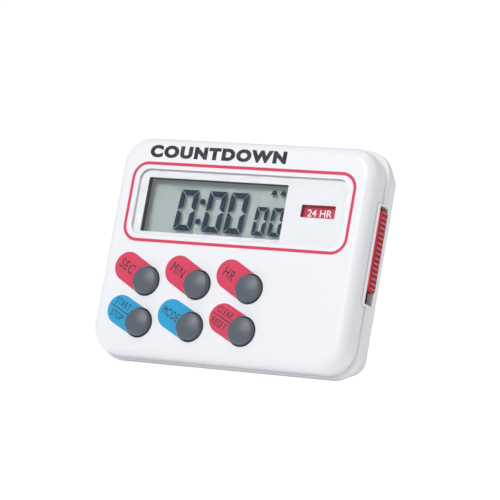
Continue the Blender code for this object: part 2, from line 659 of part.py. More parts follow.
def circuit_board():
    """A board across the case, with cut corners for the lower bosses."""
    wide, narrow = HALF_W - BOARD_INSET, BOSS_X - BOSS_RADIUS - BOARD_CLEARANCE
    low, step = -HALF_H + BOARD_BOTTOM, -BOSS_Z + BOSS_RADIUS + BOARD_CLEARANCE
    top = LCD_BOTTOM + GLASS_LEDGE
    corners = (
        (-narrow, low), (narrow, low), (narrow, step), (wide, step),
        (wide, top), (-wide, top), (-wide, step), (-narrow, step),
    )
    board = loft("circuit_board", prism(corners, BOARD_FRONT, BOARD_BACK))
    finish(board, (0.05, 0.25, 0.10), 0.5, smooth=False)


def components():
    """What the board carries on its back."""
    back = BOARD_BACK + GAP
    z = LCD_BOTTOM - PARTS_BELOW_GLASS
    depths = (back, back + 0.7 * CHIP_COVER_HEIGHT, back + CHIP_COVER_HEIGHT)
    blob = [circle(r, y) for r, y in zip(CHIP_COVER, depths)]
    finish(loft("chip_cover", blob, (-4 * MM, 0, z)), BLACK, 0.4)
    parts = (  # name, radius, length, x, colour, roughness, metallic
        ("crystal", 1.0 * MM, 6.0 * MM, -13 * MM, (0.6, 0.6, 0.62), 0.25, 1.0),
        ("capacitor", 1.5 * MM, 5.0 * MM, 7 * MM, (0.08, 0.10, 0.30), 0.4, 0.0),
        ("resistor", 0.8 * MM, 3.6 * MM, 12 * MM, (0.70, 0.55, 0.38), 0.5, 0.0),
    )
    for name, radius, length, x, colour, roughness, metallic in parts:
        rings = [circle(radius, y, steps=SMALL_STEPS) for y in (-length / 2, length / 2)]
        part = loft(name, rings, (x, back + radius, z))
        part.rotation_euler = (math.pi / 2, 0, 0)
        finish(part, colour, roughness, metallic)
    radius, thickness = BOARD_SCREW_HEAD
    for i, side in enumerate((-1, 1)):
        place = (side * (HALF_W - BOARD_INSET - 4 * MM), 0, LCD_BOTTOM - 3 * MM)
        head = [circle(radius, y, steps=SMALL_STEPS) for y in (back, back + thickness)]
        finish(loft(f"board_screw_{i + 1}", head, place), STEEL, 0.3, 1.0)


def slider():
    """Ribbed red slider with a base behind the wall, and the flag it carries behind the small window."""
    top = SLOT_Z[1] - SLIDER_TOP_GAP
    bottom = SLOT_Z[0] + SLIDER_TRAVEL + GAP
    front, back = SLOT_FRONT + FIT, SLOT_FRONT + SLOT_DEPTH - FIT
    face = HALF_W + SLIDER_PROUD - RIB_HEIGHT
    inner = SLIDER_X - SLIDER_BASE
    knob = loft("mode_slider", cuboid((inner + GAP, front, bottom), (face, back, top)))
    base = cuboid(
        (inner, front - SLIDER_SIDE_LIP, bottom - SLIDER_LIP),
        (SLIDER_X, back + SLIDER_SIDE_LIP, top + SLIDER_LIP),
    )
    add(knob, "base", base)
    for i in range(RIB_COUNT):
        z = top - RIB_PITCH * (i + 0.5)
        half = RIB_WIDTH / 2
        rib = cuboid((face - FIT, front, z - half), (face + RIB_HEIGHT, back, z + half))
        add(knob, f"rib_{i + 1}", rib)
    finish(knob, RED, 0.4, smooth=False)
    y = FACE_WALL + FIT
    outer = SLIDER_X - 2 * FIT
    half = FLAG_WINDOW[1] / 2
    low, high = DISPLAY_Z - half - FLAG_WINDOW_OVERLAP, DISPLAY_Z + half + FLAG_MARGIN
    left = FLAG_WINDOW_LEFT - FLAG_WINDOW_OVERLAP
    flag = loft("mode_flag", cuboid((left, y, low), (outer, y + FLAG_THICKNESS, high)))
    tab = cuboid((inner, y, low), (outer, front - SLIDER_SIDE_LIP - GAP, high))
    add(flag, "tab", tab)
    finish(flag, RED, 0.4, smooth=False)
    leaf = cuboid(
        (HALF_W - BOARD_INSET + GAP, front, SLOT_Z[0] + CONTACT_LEAF[0]),
        (inner - FIT, front + CONTACT_DEPTH, SLOT_Z[0] + CONTACT_LEAF[1]),
    )
    finish(loft("slide_contact", leaf), (0.75, 0.60, 0.30), 0.3, 1.0, smooth=False)


def battery():
    """The cell lies along x behind the display, between a plate and a conical spring."""
    rings = [
        circle(r, y)
        for r, y in (
            (BATTERY_RADIUS - BATTERY_EDGE, 0),
            (BATTERY_RADIUS, BATTERY_EDGE),
            (BATTERY_RADIUS, BATTERY_LENGTH - BATTERY_EDGE),
            (BATTERY_RADIUS - BATTERY_EDGE, BATTERY_LENGTH),
            (BATTERY_NUB_RADIUS, BATTERY_LENGTH),
            (BATTERY_NUB_RADIUS, BATTERY_LENGTH + BATTERY_NUB),
        )
    ]
    cell = loft("battery", rings, (BATTERY_X0, BATTERY_Y, BATTERY_Z))
    cell.rotation_euler = (0, 0, -math.pi / 2)
    finish(cell, (0.10, 0.30, 0.16), 0.35, 0.3)
    x = BATTERY_X0 + BATTERY_LENGTH + BATTERY_NUB + GAP
    deep, high = CONTACT_SIZE[0] / 2, CONTACT_SIZE[1] / 2
    plate = cuboid((x, BATTERY_Y - deep, BATTERY_Z - high), (x + FIT, BATTERY_Y + deep, BATTERY_Z + high))
    finish(loft("positive_contact", plate), STEEL, 0.3, 1.0, smooth=False)
    start, end = BAY_X0 + SPRING_WIRE + GAP, BATTERY_X0 - SPRING_WIRE - GAP
    steps = 14 * SPRING_TURNS
    points = []
    for step in range(steps + 1):
        share = step / steps
        radius = SPRING_RADII[0] + (SPRING_RADII[1] - SPRING_RADII[0]) * share
        angle = 2 * math.pi * SPRING_TURNS * share
        points.append((
            start + (end - start) * share,
            BATTERY_Y + radius * math.cos(angle),
            BATTERY_Z + radius * math.sin(angle),
        ))
    finish(tube("negative_spring", points, SPRING_WIRE), STEEL, 0.3, 1.0)


def case_screws():
    head = DEPTH - SCREW_SINK - SCREW_HEAD_THICKNESS
    tip = FACE_WALL + SCREW_END
    for i, (sx, sz) in enumerate(SIGNS):
        rings = [
            circle(r, y, steps=SMALL_STEPS)
            for r, y in (
                (SCREW_TIP, tip),
                (SCREW_SHANK, tip + SCREW_POINT),
                (SCREW_SHANK, head),
                (SCREW_HEAD, head),
                (SCREW_HEAD, head + HEAD_EDGE),
                (SCREW_HEAD * 0.7, head + SCREW_HEAD_THICKNESS),
            )
        ]
        place = (sx * BOSS_X, 0, sz * BOSS_Z)
        screw = loft(f"case_screw_{i + 1}", rings, place)
        for j, (long, short) in enumerate(((CROSS_LENGTH, FIT / 2), (FIT / 2, CROSS_LENGTH))):
            recess = cuboid((-long, head + CROSS_START, -short), (long, DEPTH, short))
            cut(screw, f"cross_{j + 1}", recess, place)
        finish(screw, STEEL, 0.3, 1.0)


def magnets():
    for i, (x, z) in enumerate(MAGNET_PLACES):
        rings = [circle(MAGNET_RADIUS, y) for y in (DEPTH - MAGNET_THICKNESS - GAP, DEPTH - GAP)]
        finish(loft(f"magnet_{i + 1}", rings, (x, 0, z)), (0.05, 0.05, 0.05), 0.5, 0.2)


def buzzer():
    """A brass disc with a ceramic plate on its front, and two wires to the board."""
    plate_back = DEPTH - WALL - BUZZER_CHAMBER
    ceramic_back = plate_back - BUZZER_PLATE - GAP
    ceramic_front = ceramic_back - BUZZER_PLATE
    place = (BUZZER_X, 0, BUZZER_Z)
    plate = [circle(BUZZER_RADIUS, y) for y in (plate_back - BUZZER_PLATE, plate_back)]
    finish(loft("buzzer_disc", plate, place), (0.75, 0.60, 0.25), 0.3, 1.0)
    ceramic = [circle(BUZZER_RADIUS * CERAMIC_SHARE, y) for y in (ceramic_front, ceramic_back)]
    finish(loft("buzzer_ceramic", ceramic, place), (0.80, 0.78, 0.70), 0.5)
    x = BUZZER_X - BUZZER_RADIUS * 0.3
    wires = (("buzzer_wire_red", RED, 3.0 * MM), ("buzzer_wire_black", BLACK, -1.5 * MM))
    for name, colour, offset in wires:
        z = BUZZER_Z + offset
        start = Vector((x, ceramic_front - BUZZER_WIRE - GAP, z))
        end = Vector((x - WIRE_RUN, BOARD_BACK + BUZZER_WIRE + FIT, z))
        points = []
        steps = 8
        for step in range(steps + 1):
            share = step / steps
            points.append(start.lerp(end, share) + Vector((WIRE_BULGE * math.sin(math.pi * share), 0, 0)))
        finish(tube(name, points, BUZZER_WIRE), colour, 0.5)


front_cover()
rear_cover()
battery_door()
stand()
display()
buttons()
keypad_mat()
circuit_board()
components()
slider()
battery()
case_screws()
magnets()
buzzer()


# Stance
def stand_on_floor():
    """Leans the timer back and puts the middle of its footprint at the origin, on z = 0."""
    timer.rotation_euler = (-LEAN, 0, 0)
    bpy.context.view_layer.update()
    graph = bpy.context.evaluated_depsgraph_get()
    low, high = Vector((1, 1, 1)), Vector((-1, -1, -1))
    for obj in bpy.data.objects:
        if obj.hide_render or obj.type not in ("MESH", "CURVE"):
            continue
        shape = obj.evaluated_get(graph)
        mesh = shape.to_mesh()
        for vert in mesh.vertices:
            place = shape.matrix_world @ vert.co
            low = Vector(map(min, low, place))
            high = Vector(map(max, high, place))
        shape.to_mesh_clear()
    timer.location = (-(low.x + high.x) / 2, -(low.y + high.y) / 2, -low.z)
    bpy.context.view_layer.update()


stand_on_floor()
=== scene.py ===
import json
import math

import bmesh
import bpy
from mathutils import Matrix, Vector


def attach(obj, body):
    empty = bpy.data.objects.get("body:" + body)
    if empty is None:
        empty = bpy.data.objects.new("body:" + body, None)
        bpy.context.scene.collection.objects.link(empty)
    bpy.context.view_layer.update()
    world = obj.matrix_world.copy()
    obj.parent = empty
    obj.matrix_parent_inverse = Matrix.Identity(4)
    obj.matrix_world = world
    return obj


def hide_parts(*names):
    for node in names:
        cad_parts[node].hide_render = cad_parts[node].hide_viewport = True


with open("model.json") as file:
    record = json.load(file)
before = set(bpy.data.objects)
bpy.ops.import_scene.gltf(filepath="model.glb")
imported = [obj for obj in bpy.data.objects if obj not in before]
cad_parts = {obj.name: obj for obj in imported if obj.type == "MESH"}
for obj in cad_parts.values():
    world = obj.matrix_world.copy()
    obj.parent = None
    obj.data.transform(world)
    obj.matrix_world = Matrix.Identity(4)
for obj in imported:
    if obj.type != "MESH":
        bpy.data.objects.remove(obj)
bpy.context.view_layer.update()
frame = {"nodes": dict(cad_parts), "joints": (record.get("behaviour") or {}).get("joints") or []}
mm = 0.001
print("frame loaded:", len(frame["nodes"]), "nodes")

# the case's own leaning frame: x right, y from face to back, z up
pressAxis = Vector(next(j["axis"] for j in frame["joints"] if j["name"] == "press_minutes"))
lean = math.atan2(-pressAxis.z, pressAxis.y)
tilt = Matrix.Rotation(-lean, 4, "X")


def leaningBox(node):
    points = [tilt.inverted() @ v.co for v in frame["nodes"][node].data.vertices]
    low = Vector([min(p[i] for p in points) for i in range(3)])
    high = Vector([max(p[i] for p in points) for i in range(3)])
    return low, high


shellLow, shellHigh = leaningBox("front_cover")
faceMiddle = Vector(((shellLow.x + shellHigh.x) / 2, shellLow.y, (shellLow.z + shellHigh.z) / 2))
caseMatrix = tilt @ Matrix.Translation(faceMiddle)


def caseBox(node):  # a node's corners measured from the middle of the face
    low, high = leaningBox(node)
    return low - faceMiddle, high - faceMiddle


def spotOf(node):  # where a round node's middle stands on the face
    low, high = caseBox(node)
    spot = (low + high) / 2
    return spot.x, spot.z


def spanOf(left, right, bottom, top):  # middle, half width and half height
    return ((left + right) / 2, (bottom + top) / 2), (right - left) / 2, (top - bottom) / 2


def faceSpan(node):
    low, high = caseBox(node)
    return spanOf(low.x, high.x, low.z, high.z)


# shape helpers
def linked(name, data):
    obj = bpy.data.objects.new(name, data)
    bpy.context.scene.collection.objects.link(obj)
    return obj


def settledMesh(obj):  # the object's finished mesh; the object itself goes
    bpy.context.view_layer.update()
    graph = bpy.context.evaluated_depsgraph_get()
    mesh = bpy.data.meshes.new_from_object(obj.evaluated_get(graph))
    bpy.data.objects.remove(obj)
    return mesh


def placed(name, mesh, body, finish, replaces=(), matrix=None):
    mesh.transform(matrix or caseMatrix)
    obj = linked(name, mesh)
    obj.data.materials.clear()
    obj.data.materials.append(palette[finish])
    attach(obj, body)
    if replaces:
        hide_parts(*replaces)
    return obj


def roundedRing(halfX, halfZ, radius, depth, centre=(0, 0), steps=20):
    radius = max(min(radius, halfX, halfZ), 0.01 * mm)
    points = []
    for corner, (sx, sz) in enumerate(((1, 1), (-1, 1), (-1, -1), (1, -1))):
        for step in range(steps + 1):
            angle = math.pi / 2 * (corner + step / steps)
            points.append((
                centre[0] + sx * (halfX - radius) + radius * math.cos(angle),
                depth,
                centre[1] + sz * (halfZ - radius) + radius * math.sin(angle),
            ))
    return points


def roundedRings(halfX, halfZ, corner, rows, centre=(0, 0), steps=20):  # rows of inset and depth
    return [roundedRing(halfX - inset, halfZ - inset, corner - inset, depth, centre, steps)
            for inset, depth in rows]


def circleRing(radius, depth, centre=(0, 0), steps=72):
    turns = [2 * math.pi * i / steps for i in range(steps)]
    return [(centre[0] + radius * math.cos(a), depth, centre[1] + radius * math.sin(a)) for a in turns]


def quarter(steps):  # sine and cosine along a quarter turn
    return [(math.sin(math.pi / 2 * i / steps), math.cos(math.pi / 2 * i / steps)) for i in range(steps + 1)]


def roundFrom(radius, depth, steps):  # rows of inset and depth, from a flat face to the sides
    return [(radius * (1 - sine), depth + radius * (1 - cosine)) for sine, cosine in quarter(steps)]


def roundTo(radius, depth, steps, way=-1):  # rows from the sides to a flat face at this depth
    return [(radius * (1 - cosine), depth + way * radius * (1 - sine)) for sine, cosine in quarter(steps)]


def loftMesh(name, rings, closedLoop=False):
    bm = bmesh.new()
    rows = [[bm.verts.new(p) for p in ring] for ring in rings]
    pairs = list(zip(rows, rows[1:]))
    if closedLoop:
        pairs.append((rows[-1], rows[0]))
    for near, far in pairs:
        for i in range(len(near)):
            j = (i + 1) % len(near)
            bm.faces.new((near[i], near[j], far[j], far[i]))
    if not closedLoop:
        bm.faces.new(rows[0])
        bm.faces.new(rows[-1])
    bmesh.ops.remove_doubles(bm, verts=bm.verts, dist=1e-7)
    bmesh.ops.recalc_face_normals(bm, faces=bm.faces)
    mesh = bpy.data.meshes.new(name)
    bm.to_mesh(mesh)
    bm.free()
    return mesh


def turned(name, rows, centre=(0, 0), steps=72):  # a round piece from rows of radius and depth
    return loftMesh(name, [circleRing(radius, depth, centre, steps) for radius, depth in rows])


def boxMesh(name, low, high):
    corners = ((low[0], low[2]), (high[0], low[2]), (high[0], high[2]), (low[0], high[2]))
    return loftMesh(name, [[(x, y, z) for x, z in corners] for y in (low[1], high[1])])


def sideways(name, outline, fromX, toX, rounding=0.0):  # an outline of (depth, height) run along x
    depths, heights = zip(*outline)
    centreY, centreZ = sum(depths) / len(outline), sum(heights) / len(outline)
    spanY, spanZ = max(depths) - centreY, max(heights) - centreZ
    rings = [[(fromX, y, z) for y, z in outline]]
    if not rounding:
        rings.append([(toX, y, z) for y, z in outline])
    else:
        for inset, x in roundTo(rounding, toX, 4):
            rings.append([(x, centreY + (y - centreY) * (1 - inset / spanY),
                           centreZ + (z - centreZ) * (1 - inset / spanZ)) for y, z in outline])
    return loftMesh(name, rings)


def moved(mesh, matrix):
    mesh.transform(matrix)
    return mesh


def boolean(mesh, operation, others):  # joins or cuts meshes for good, and returns the result
    base = linked("base", mesh)
    helpers = [linked("helper", other) for other in others]
    for helper in helpers:
        modifier = base.modifiers.new("cut", "BOOLEAN")
        modifier.operation = operation
        modifier.solver = "EXACT"
        modifier.object = helper
    result = settledMesh(base)
    for helper in helpers:
        bpy.data.objects.remove(helper)
    return result


def smooth(obj, angle=32):
    obj.data.shade_smooth()
    obj.data.set_sharp_from_angle(angle=math.radians(angle))
    modifier = obj.modifiers.new("weighted", "WEIGHTED_NORMAL")
    modifier.keep_sharp = True
    return obj


# printed shapes
inkDepth = 0.03 * mm


def polyCurve(name, dimensions, loops, cyclic):
    curve = bpy.data.curves.new(name, "CURVE")
    curve.dimensions = dimensions
    for loop in loops:
        spline = curve.splines.new("POLY")
        spline.points.add(len(loop) - 1)
        for point, place in zip(spline.points, loop):
            point.co = (*place, 1)
        spline.use_cyclic_u = cyclic
    return curve


def curveMesh(name, curve, depth):
    mesh = settledMesh(linked(name, curve))
    return moved(mesh, Matrix.Translation((0, depth, 0)) @ Matrix.Rotation(math.pi / 2, 4, "X"))


def filledMesh(name, loops, depth):  # a thin printed shape from closed outlines
    curve = polyCurve(name, "2D", [[(x, z, 0) for x, z in loop] for loop in loops], True)
    curve.fill_mode = "BOTH"
    curve.extrude = inkDepth / 2
    return curveMesh(name, curve, depth)


def wordMesh(name, word, height, width, centre, depth, bold=0.0, spacing=1.0):
    font = bpy.data.curves.new(name, "FONT")
    font.body = word
    font.size = 1.0
    font.offset = bold
    font.space_character = spacing
    font.extrude = 0.01
    mesh = curveMesh(name, font, 0)
    xs, ys, zs = zip(*[v.co for v in mesh.vertices])
    scaleX = width / (max(xs) - min(xs))
    scaleY = inkDepth / (max(ys) - min(ys))
    scaleZ = height / (max(zs) - min(zs))
    for v in mesh.vertices:
        v.co.x = (v.co.x - (max(xs) + min(xs)) / 2) * scaleX + centre[0]
        v.co.z = (v.co.z - (max(zs) + min(zs)) / 2) * scaleZ + centre[1]
        v.co.y = v.co.y * scaleY + depth
    return mesh


def joined(name, meshes):
    bm = bmesh.new()
    for mesh in meshes:
        bm.from_mesh(mesh)
    result = bpy.data.meshes.new(name)
    bm.to_mesh(result)
    bm.free()
    return result


def outline2d(halfX, halfZ, radius, centre=(0, 0), steps=16):
    return [(x, z) for x, _, z in roundedRing(halfX, halfZ, radius, 0, centre, steps)]


def circle2d(radius, centre, steps):
    return [(x, z) for x, _, z in circleRing(radius, 0, centre, steps)]


# shader node groups
def newGroup(name, inputs, outputs):  # inputs with their usual values; an output named Colour is a colour
    group = bpy.data.node_groups.new(name, "ShaderNodeTree")
    for label, value in inputs.items():
        kind = "NodeSocketColor" if isinstance(value, tuple) else "NodeSocketFloat"
        group.interface.new_socket(label, in_out="INPUT", socket_type=kind).default_value = value
    for label in outputs:
        kind = "NodeSocketColor" if label == "Colour" else "NodeSocketFloat"
        group.interface.new_socket(label, in_out="OUTPUT", socket_type=kind)
    given, out = group.nodes.new("NodeGroupInput"), group.nodes.new("NodeGroupOutput")
    where = group.nodes.new("ShaderNodeTexCoord").outputs["Object"]
    return group, given.outputs, out, where


def addNode(tree, kind, **settings):
    node = tree.nodes.new(kind)
    for key, value in settings.items():
        setattr(node, key, value)
    return node


def feedSocket(tree, socket, value):  # links an output, or sets a number or a colour
    if isinstance(value, bpy.types.NodeSocket):
        tree.links.new(value, socket)
    elif socket.type == "RGBA":
        socket.default_value = (*value[:3], 1)
    else:
        socket.default_value = value


def feed(tree, node, **values):
    for label, value in values.items():
        feedSocket(tree, node.inputs[label.replace("_", " ")], value)
    return node


def noiseNode(tree, vector, scale, detail=3.0, roughness=0.5):
    node = addNode(tree, "ShaderNodeTexNoise")
    return feed(tree, node, Vector=vector, Scale=scale, Detail=detail, Roughness=roughness).outputs["Fac"]


def rangeNode(tree, value, low, high):  # spreads low to high over 0 to 1
    node = addNode(tree, "ShaderNodeMapRange", clamp=True)
    return feed(tree, node, Value=value, From_Min=low, From_Max=high).outputs[0]


def mathNode(tree, operation, first, second):
    node = addNode(tree, "ShaderNodeMath", operation=operation)
    for socket, value in zip(node.inputs, (first, second)):
        feedSocket(tree, socket, value)
    return node.outputs[0]


def mixColour(tree, factor, first, second):
    node = addNode(tree, "ShaderNodeMix", data_type="RGBA")
    for place, value in ((0, factor), (6, first), (7, second)):
        feedSocket(tree, node.inputs[place], value)
    return node.outputs[2]


grey, white = (0.8, 0.8, 0.8, 1), (1, 1, 1, 1)


def buildMouldedSurface():  # slow tone drift, fine grain and a grain height for moulded plastic
    group, given, out, where = newGroup(
        "mouldedSurface",
        {"Colour": grey, "Tone Drift": 0.02, "Grain Scale": 4000.0, "Roughness": 0.4,
         "Roughness Drift": 0.06},
        ("Colour", "Roughness", "Height"),
    )
    slow = noiseNode(group, where, 45.0, 2.0)
    fine = noiseNode(group, where, given["Grain Scale"], 2.0)
    blotch = noiseNode(group, where, 260.0, 4.0, 0.6)
    drift = mathNode(group, "MULTIPLY", mathNode(group, "SUBTRACT", slow, 0.5), given["Tone Drift"])
    scaled = addNode(group, "ShaderNodeVectorMath", operation="SCALE")
    group.links.new(given["Colour"], scaled.inputs[0])
    feed(group, scaled, Scale=mathNode(group, "ADD", 1.0, drift))
    swing = mathNode(group, "MULTIPLY", mathNode(group, "SUBTRACT", blotch, 0.5), given["Roughness Drift"])
    roughness = mathNode(group, "ADD", given["Roughness"], swing)
    feed(group, out, Colour=scaled.outputs[0], Roughness=roughness, Height=fine)
    return group


def buildEdgeWear():  # rubs the corners lighter or darker, broken up by noise
    group, given, out, where = newGroup(
        "edgeWear", {"Colour": grey, "Worn Colour": white, "Amount": 0.5}, ("Colour", "Mask")
    )
    sharp = rangeNode(group, addNode(group, "ShaderNodeNewGeometry").outputs["Pointiness"], 0.52, 0.60)
    broken = rangeNode(group, noiseNode(group, where, 900.0, 4.0, 0.65), 0.38, 0.62)
    mask = mathNode(group, "MULTIPLY", mathNode(group, "MULTIPLY", sharp, broken), given["Amount"])
    feed(group, out, Colour=mixColour(group, mask, given["Colour"], given["Worn Colour"]), Mask=mask)
    return group


def buildDust():  # sparse pale specks that settle on a surface
    group, given, out, where = newGroup("settledDust", {"Colour": grey, "Amount": 0.2}, ("Colour", "Mask"))
    specks = rangeNode(group, noiseNode(group, where, 2600.0, 2.0, 0.4), 0.70, 0.78)
    patches = rangeNode(group, noiseNode(group, where, 120.0, 2.0), 0.45, 0.7)
    mask = mathNode(group, "MULTIPLY", mathNode(group, "MULTIPLY", specks, patches), given["Amount"])
    feed(group, out, Colour=mixColour(group, mask, given["Colour"], (0.75, 0.74, 0.72)), Mask=mask)
    return group


def buildFineScratches():  # hairline marks running one way, as a roughness lift and a height
    group, given, out, where = newGroup(
        "fineScratches", {"Roughness": 0.3, "Amount": 0.1, "Density": 900.0}, ("Roughness", "Height")
    )
    stretch = addNode(group, "ShaderNodeMapping")
    feed(group, stretch, Vector=where, Scale=(0.06, 1.0, 1.0), Rotation=(0.2, 0.3, 0.5))
    lines = noiseNode(group, stretch.outputs[0], given["Density"], 3.0, 0.7)
    lift = mathNode(group, "MULTIPLY", rangeNode(group, lines, 0.55, 0.75), given["Amount"])
    feed(group, out, Roughness=mathNode(group, "ADD", given["Roughness"], lift), Height=lines)
    return group


mouldedSurface = buildMouldedSurface()
edgeWear = buildEdgeWear()
settledDust = buildDust()
fineScratches = buildFineScratches()
print("node groups built")


# materials
def newMaterial(name):
    material = bpy.data.materials.new(name)
    material.use_nodes = True
    tree = material.node_tree
    return material, tree, tree.nodes["Principled BSDF"]


def placeGroup(tree, group, **values):
    return feed(tree, addNode(tree, "ShaderNodeGroup", node_tree=group), **values).outputs


def finishSurface(tree, shader, colour, roughness, height, strength, reach=0.02 * mm):
    bump = feed(tree, addNode(tree, "ShaderNodeBump"), Strength=strength, Distance=reach, Height=height)
    feed(tree, shader, Base_Color=colour, Roughness=roughness, Normal=bump.outputs[0])


def swapForRay(tree, ray, usual, special, end, share=None):  # one kind of ray sees another shader
    factor = addNode(tree, "ShaderNodeLightPath").outputs[ray]
    if share:
        factor = mathNode(tree, "MULTIPLY", factor, share)
    blend = addNode(tree, "ShaderNodeMixShader")
    for socket, value in zip(blend.inputs, (factor, usual.outputs[0], special.outputs[0])):
        tree.links.new(value, socket)
    tree.links.new(blend.outputs[0], tree.nodes[end].inputs["Surface"])


def brighter(colour, factor, lift=0.0):
    return tuple(min(1.0, c * factor + lift) for c in colour)


def plasticMaterial(name, colour, roughness, worn=None, wear=0.25, drift=0.03, grain=5000.0, bump=0.1,
                    dust=0.08, coat=0.0, specular=0.5, subsurface=0.0):
    material, tree, shader = newMaterial(name)
    surface = placeGroup(
        tree, mouldedSurface, Colour=colour, Tone_Drift=drift, Grain_Scale=grain, Roughness=roughness
    )
    worn = worn or brighter(colour, 1.25, 0.02)
    wearAndPaintedHighlight = placeGroup(tree, edgeWear, Colour=surface["Colour"], Worn_Colour=worn, Amount=wear)
    dusty = placeGroup(tree, settledDust, Colour=wearAndPaintedHighlight["Colour"], Amount=dust)
    finishSurface(tree, shader, dusty["Colour"], surface["Roughness"], surface["Height"], bump)
    feed(tree, shader, Specular_IOR_Level=specular, Coat_Weight=coat, Coat_Roughness=0.15)
    if subsurface:
        feed(tree, shader, Subsurface_Weight=subsurface, Subsurface_Radius=(1.0, 0.9, 0.8),
             Subsurface_Scale=0.4 * mm)
    return material


def metalMaterial(name, colour, roughness):
    material, tree, shader = newMaterial(name)
    surface = placeGroup(tree, mouldedSurface, Colour=colour, Tone_Drift=0.12, Grain_Scale=3000.0)
    lines = placeGroup(tree, fineScratches, Roughness=roughness, Amount=0.12, Density=900.0)
    wearAndPaintedHighlight = placeGroup(
        tree, edgeWear, Colour=surface["Colour"], Worn_Colour=brighter(colour, 1.3), Amount=0.5
    )
    finishSurface(tree, shader, wearAndPaintedHighlight["Colour"], lines["Roughness"], lines["Height"], 0.08)
    feed(tree, shader, Metallic=1.0)
    return material


def clearMaterial(name, colour, ior):  # lets lamp light through, so what lies behind stays lit
    material, tree, shader = newMaterial(name)
    surface = placeGroup(tree, mouldedSurface, Colour=colour, Tone_Drift=0.01, Grain_Scale=700.0)
    lines = placeGroup(tree, fineScratches, Roughness=0.0, Amount=0.012, Density=500.0)
    feed(tree, shader, Base_Color=surface["Colour"], Roughness=lines["Roughness"], Transmission_Weight=1.0,
         IOR=ior)
    passing = feed(tree, addNode(tree, "ShaderNodeBsdfTransparent"), Color=(0.97, 0.97, 0.97))
    swapForRay(tree, "Is Shadow Ray", shader, passing, "Material Output")
    return material


def stripedMaterial(name, first, second, axis, period, roughness=0.5, share=0.5):
    material, tree, shader = newMaterial(name)
    split = addNode(tree, "ShaderNodeSeparateXYZ")
    tree.links.new(addNode(tree, "ShaderNodeTexCoord").outputs["Object"], split.inputs[0])
    turns = mathNode(tree, "FRACT", mathNode(tree, "DIVIDE", split.outputs[axis], period), 0.0)
    colour = mixColour(tree, mathNode(tree, "GREATER_THAN", turns, share), first, second)
    surface = placeGroup(tree, mouldedSurface, Colour=colour, Tone_Drift=0.08, Roughness=roughness)
    finishSurface(tree, shader, surface["Colour"], surface["Roughness"], surface["Height"], 0.15)
    return material


def boardMaterial():  # solder mask over raised tracks, with tinned pads
    material, tree, shader = newMaterial("greenBoard")
    turn = addNode(tree, "ShaderNodeMapping")
    feed(tree, turn, Vector=addNode(tree, "ShaderNodeTexCoord").outputs["Object"], Rotation=(lean, 0, 0))
    tracks = addNode(tree, "ShaderNodeTexVoronoi", distance="MANHATTAN", feature="F2")
    feed(tree, tracks, Vector=turn.outputs[0], Scale=320.0)
    lines = rangeNode(tree, mathNode(tree, "PINGPONG", tracks.outputs["Distance"], 0.16), 0.06, 0.08)
    pads = addNode(tree, "ShaderNodeTexVoronoi", feature="F1")
    feed(tree, pads, Vector=turn.outputs[0], Scale=260.0)
    tinned = rangeNode(tree, pads.outputs["Distance"], 0.14, 0.11)
    mask = mixColour(tree, lines, (0.012, 0.10, 0.035), (0.02, 0.19, 0.07))
    colour = mixColour(tree, tinned, mask, (0.62, 0.62, 0.60))
    surface = placeGroup(tree, mouldedSurface, Colour=colour, Tone_Drift=0.1, Roughness=0.35)
    finishSurface(tree, shader, surface["Colour"], surface["Roughness"], lines, 0.3, 0.05 * mm)
    feed(tree, shader, Metallic=tinned)
    return material


def displayBackingWithPaintedGlow():  # grey-green film with a painted glow: its emission lifts the shadows on it, so they stay pale
    material, tree, shader = newMaterial("displayBackingPaintedGlow")
    surface = placeGroup(tree, mouldedSurface, Colour=(0.272, 0.317, 0.313), Tone_Drift=0.05,
                         Grain_Scale=9000.0, Roughness=0.55)
    sparkle = placeGroup(tree, settledDust, Colour=surface["Colour"], Amount=0.05)
    finishSurface(tree, shader, sparkle["Colour"], surface["Roughness"], surface["Height"], 0.2, 0.01 * mm)
    # painted glow: the film is no lamp, yet this emission lightens the shade and the figures' shadows on it,
    # with the base colour lowered to match
    feed(tree, shader, Emission_Color=(0.365, 0.425, 0.42), Emission_Strength=0.3)
    return material


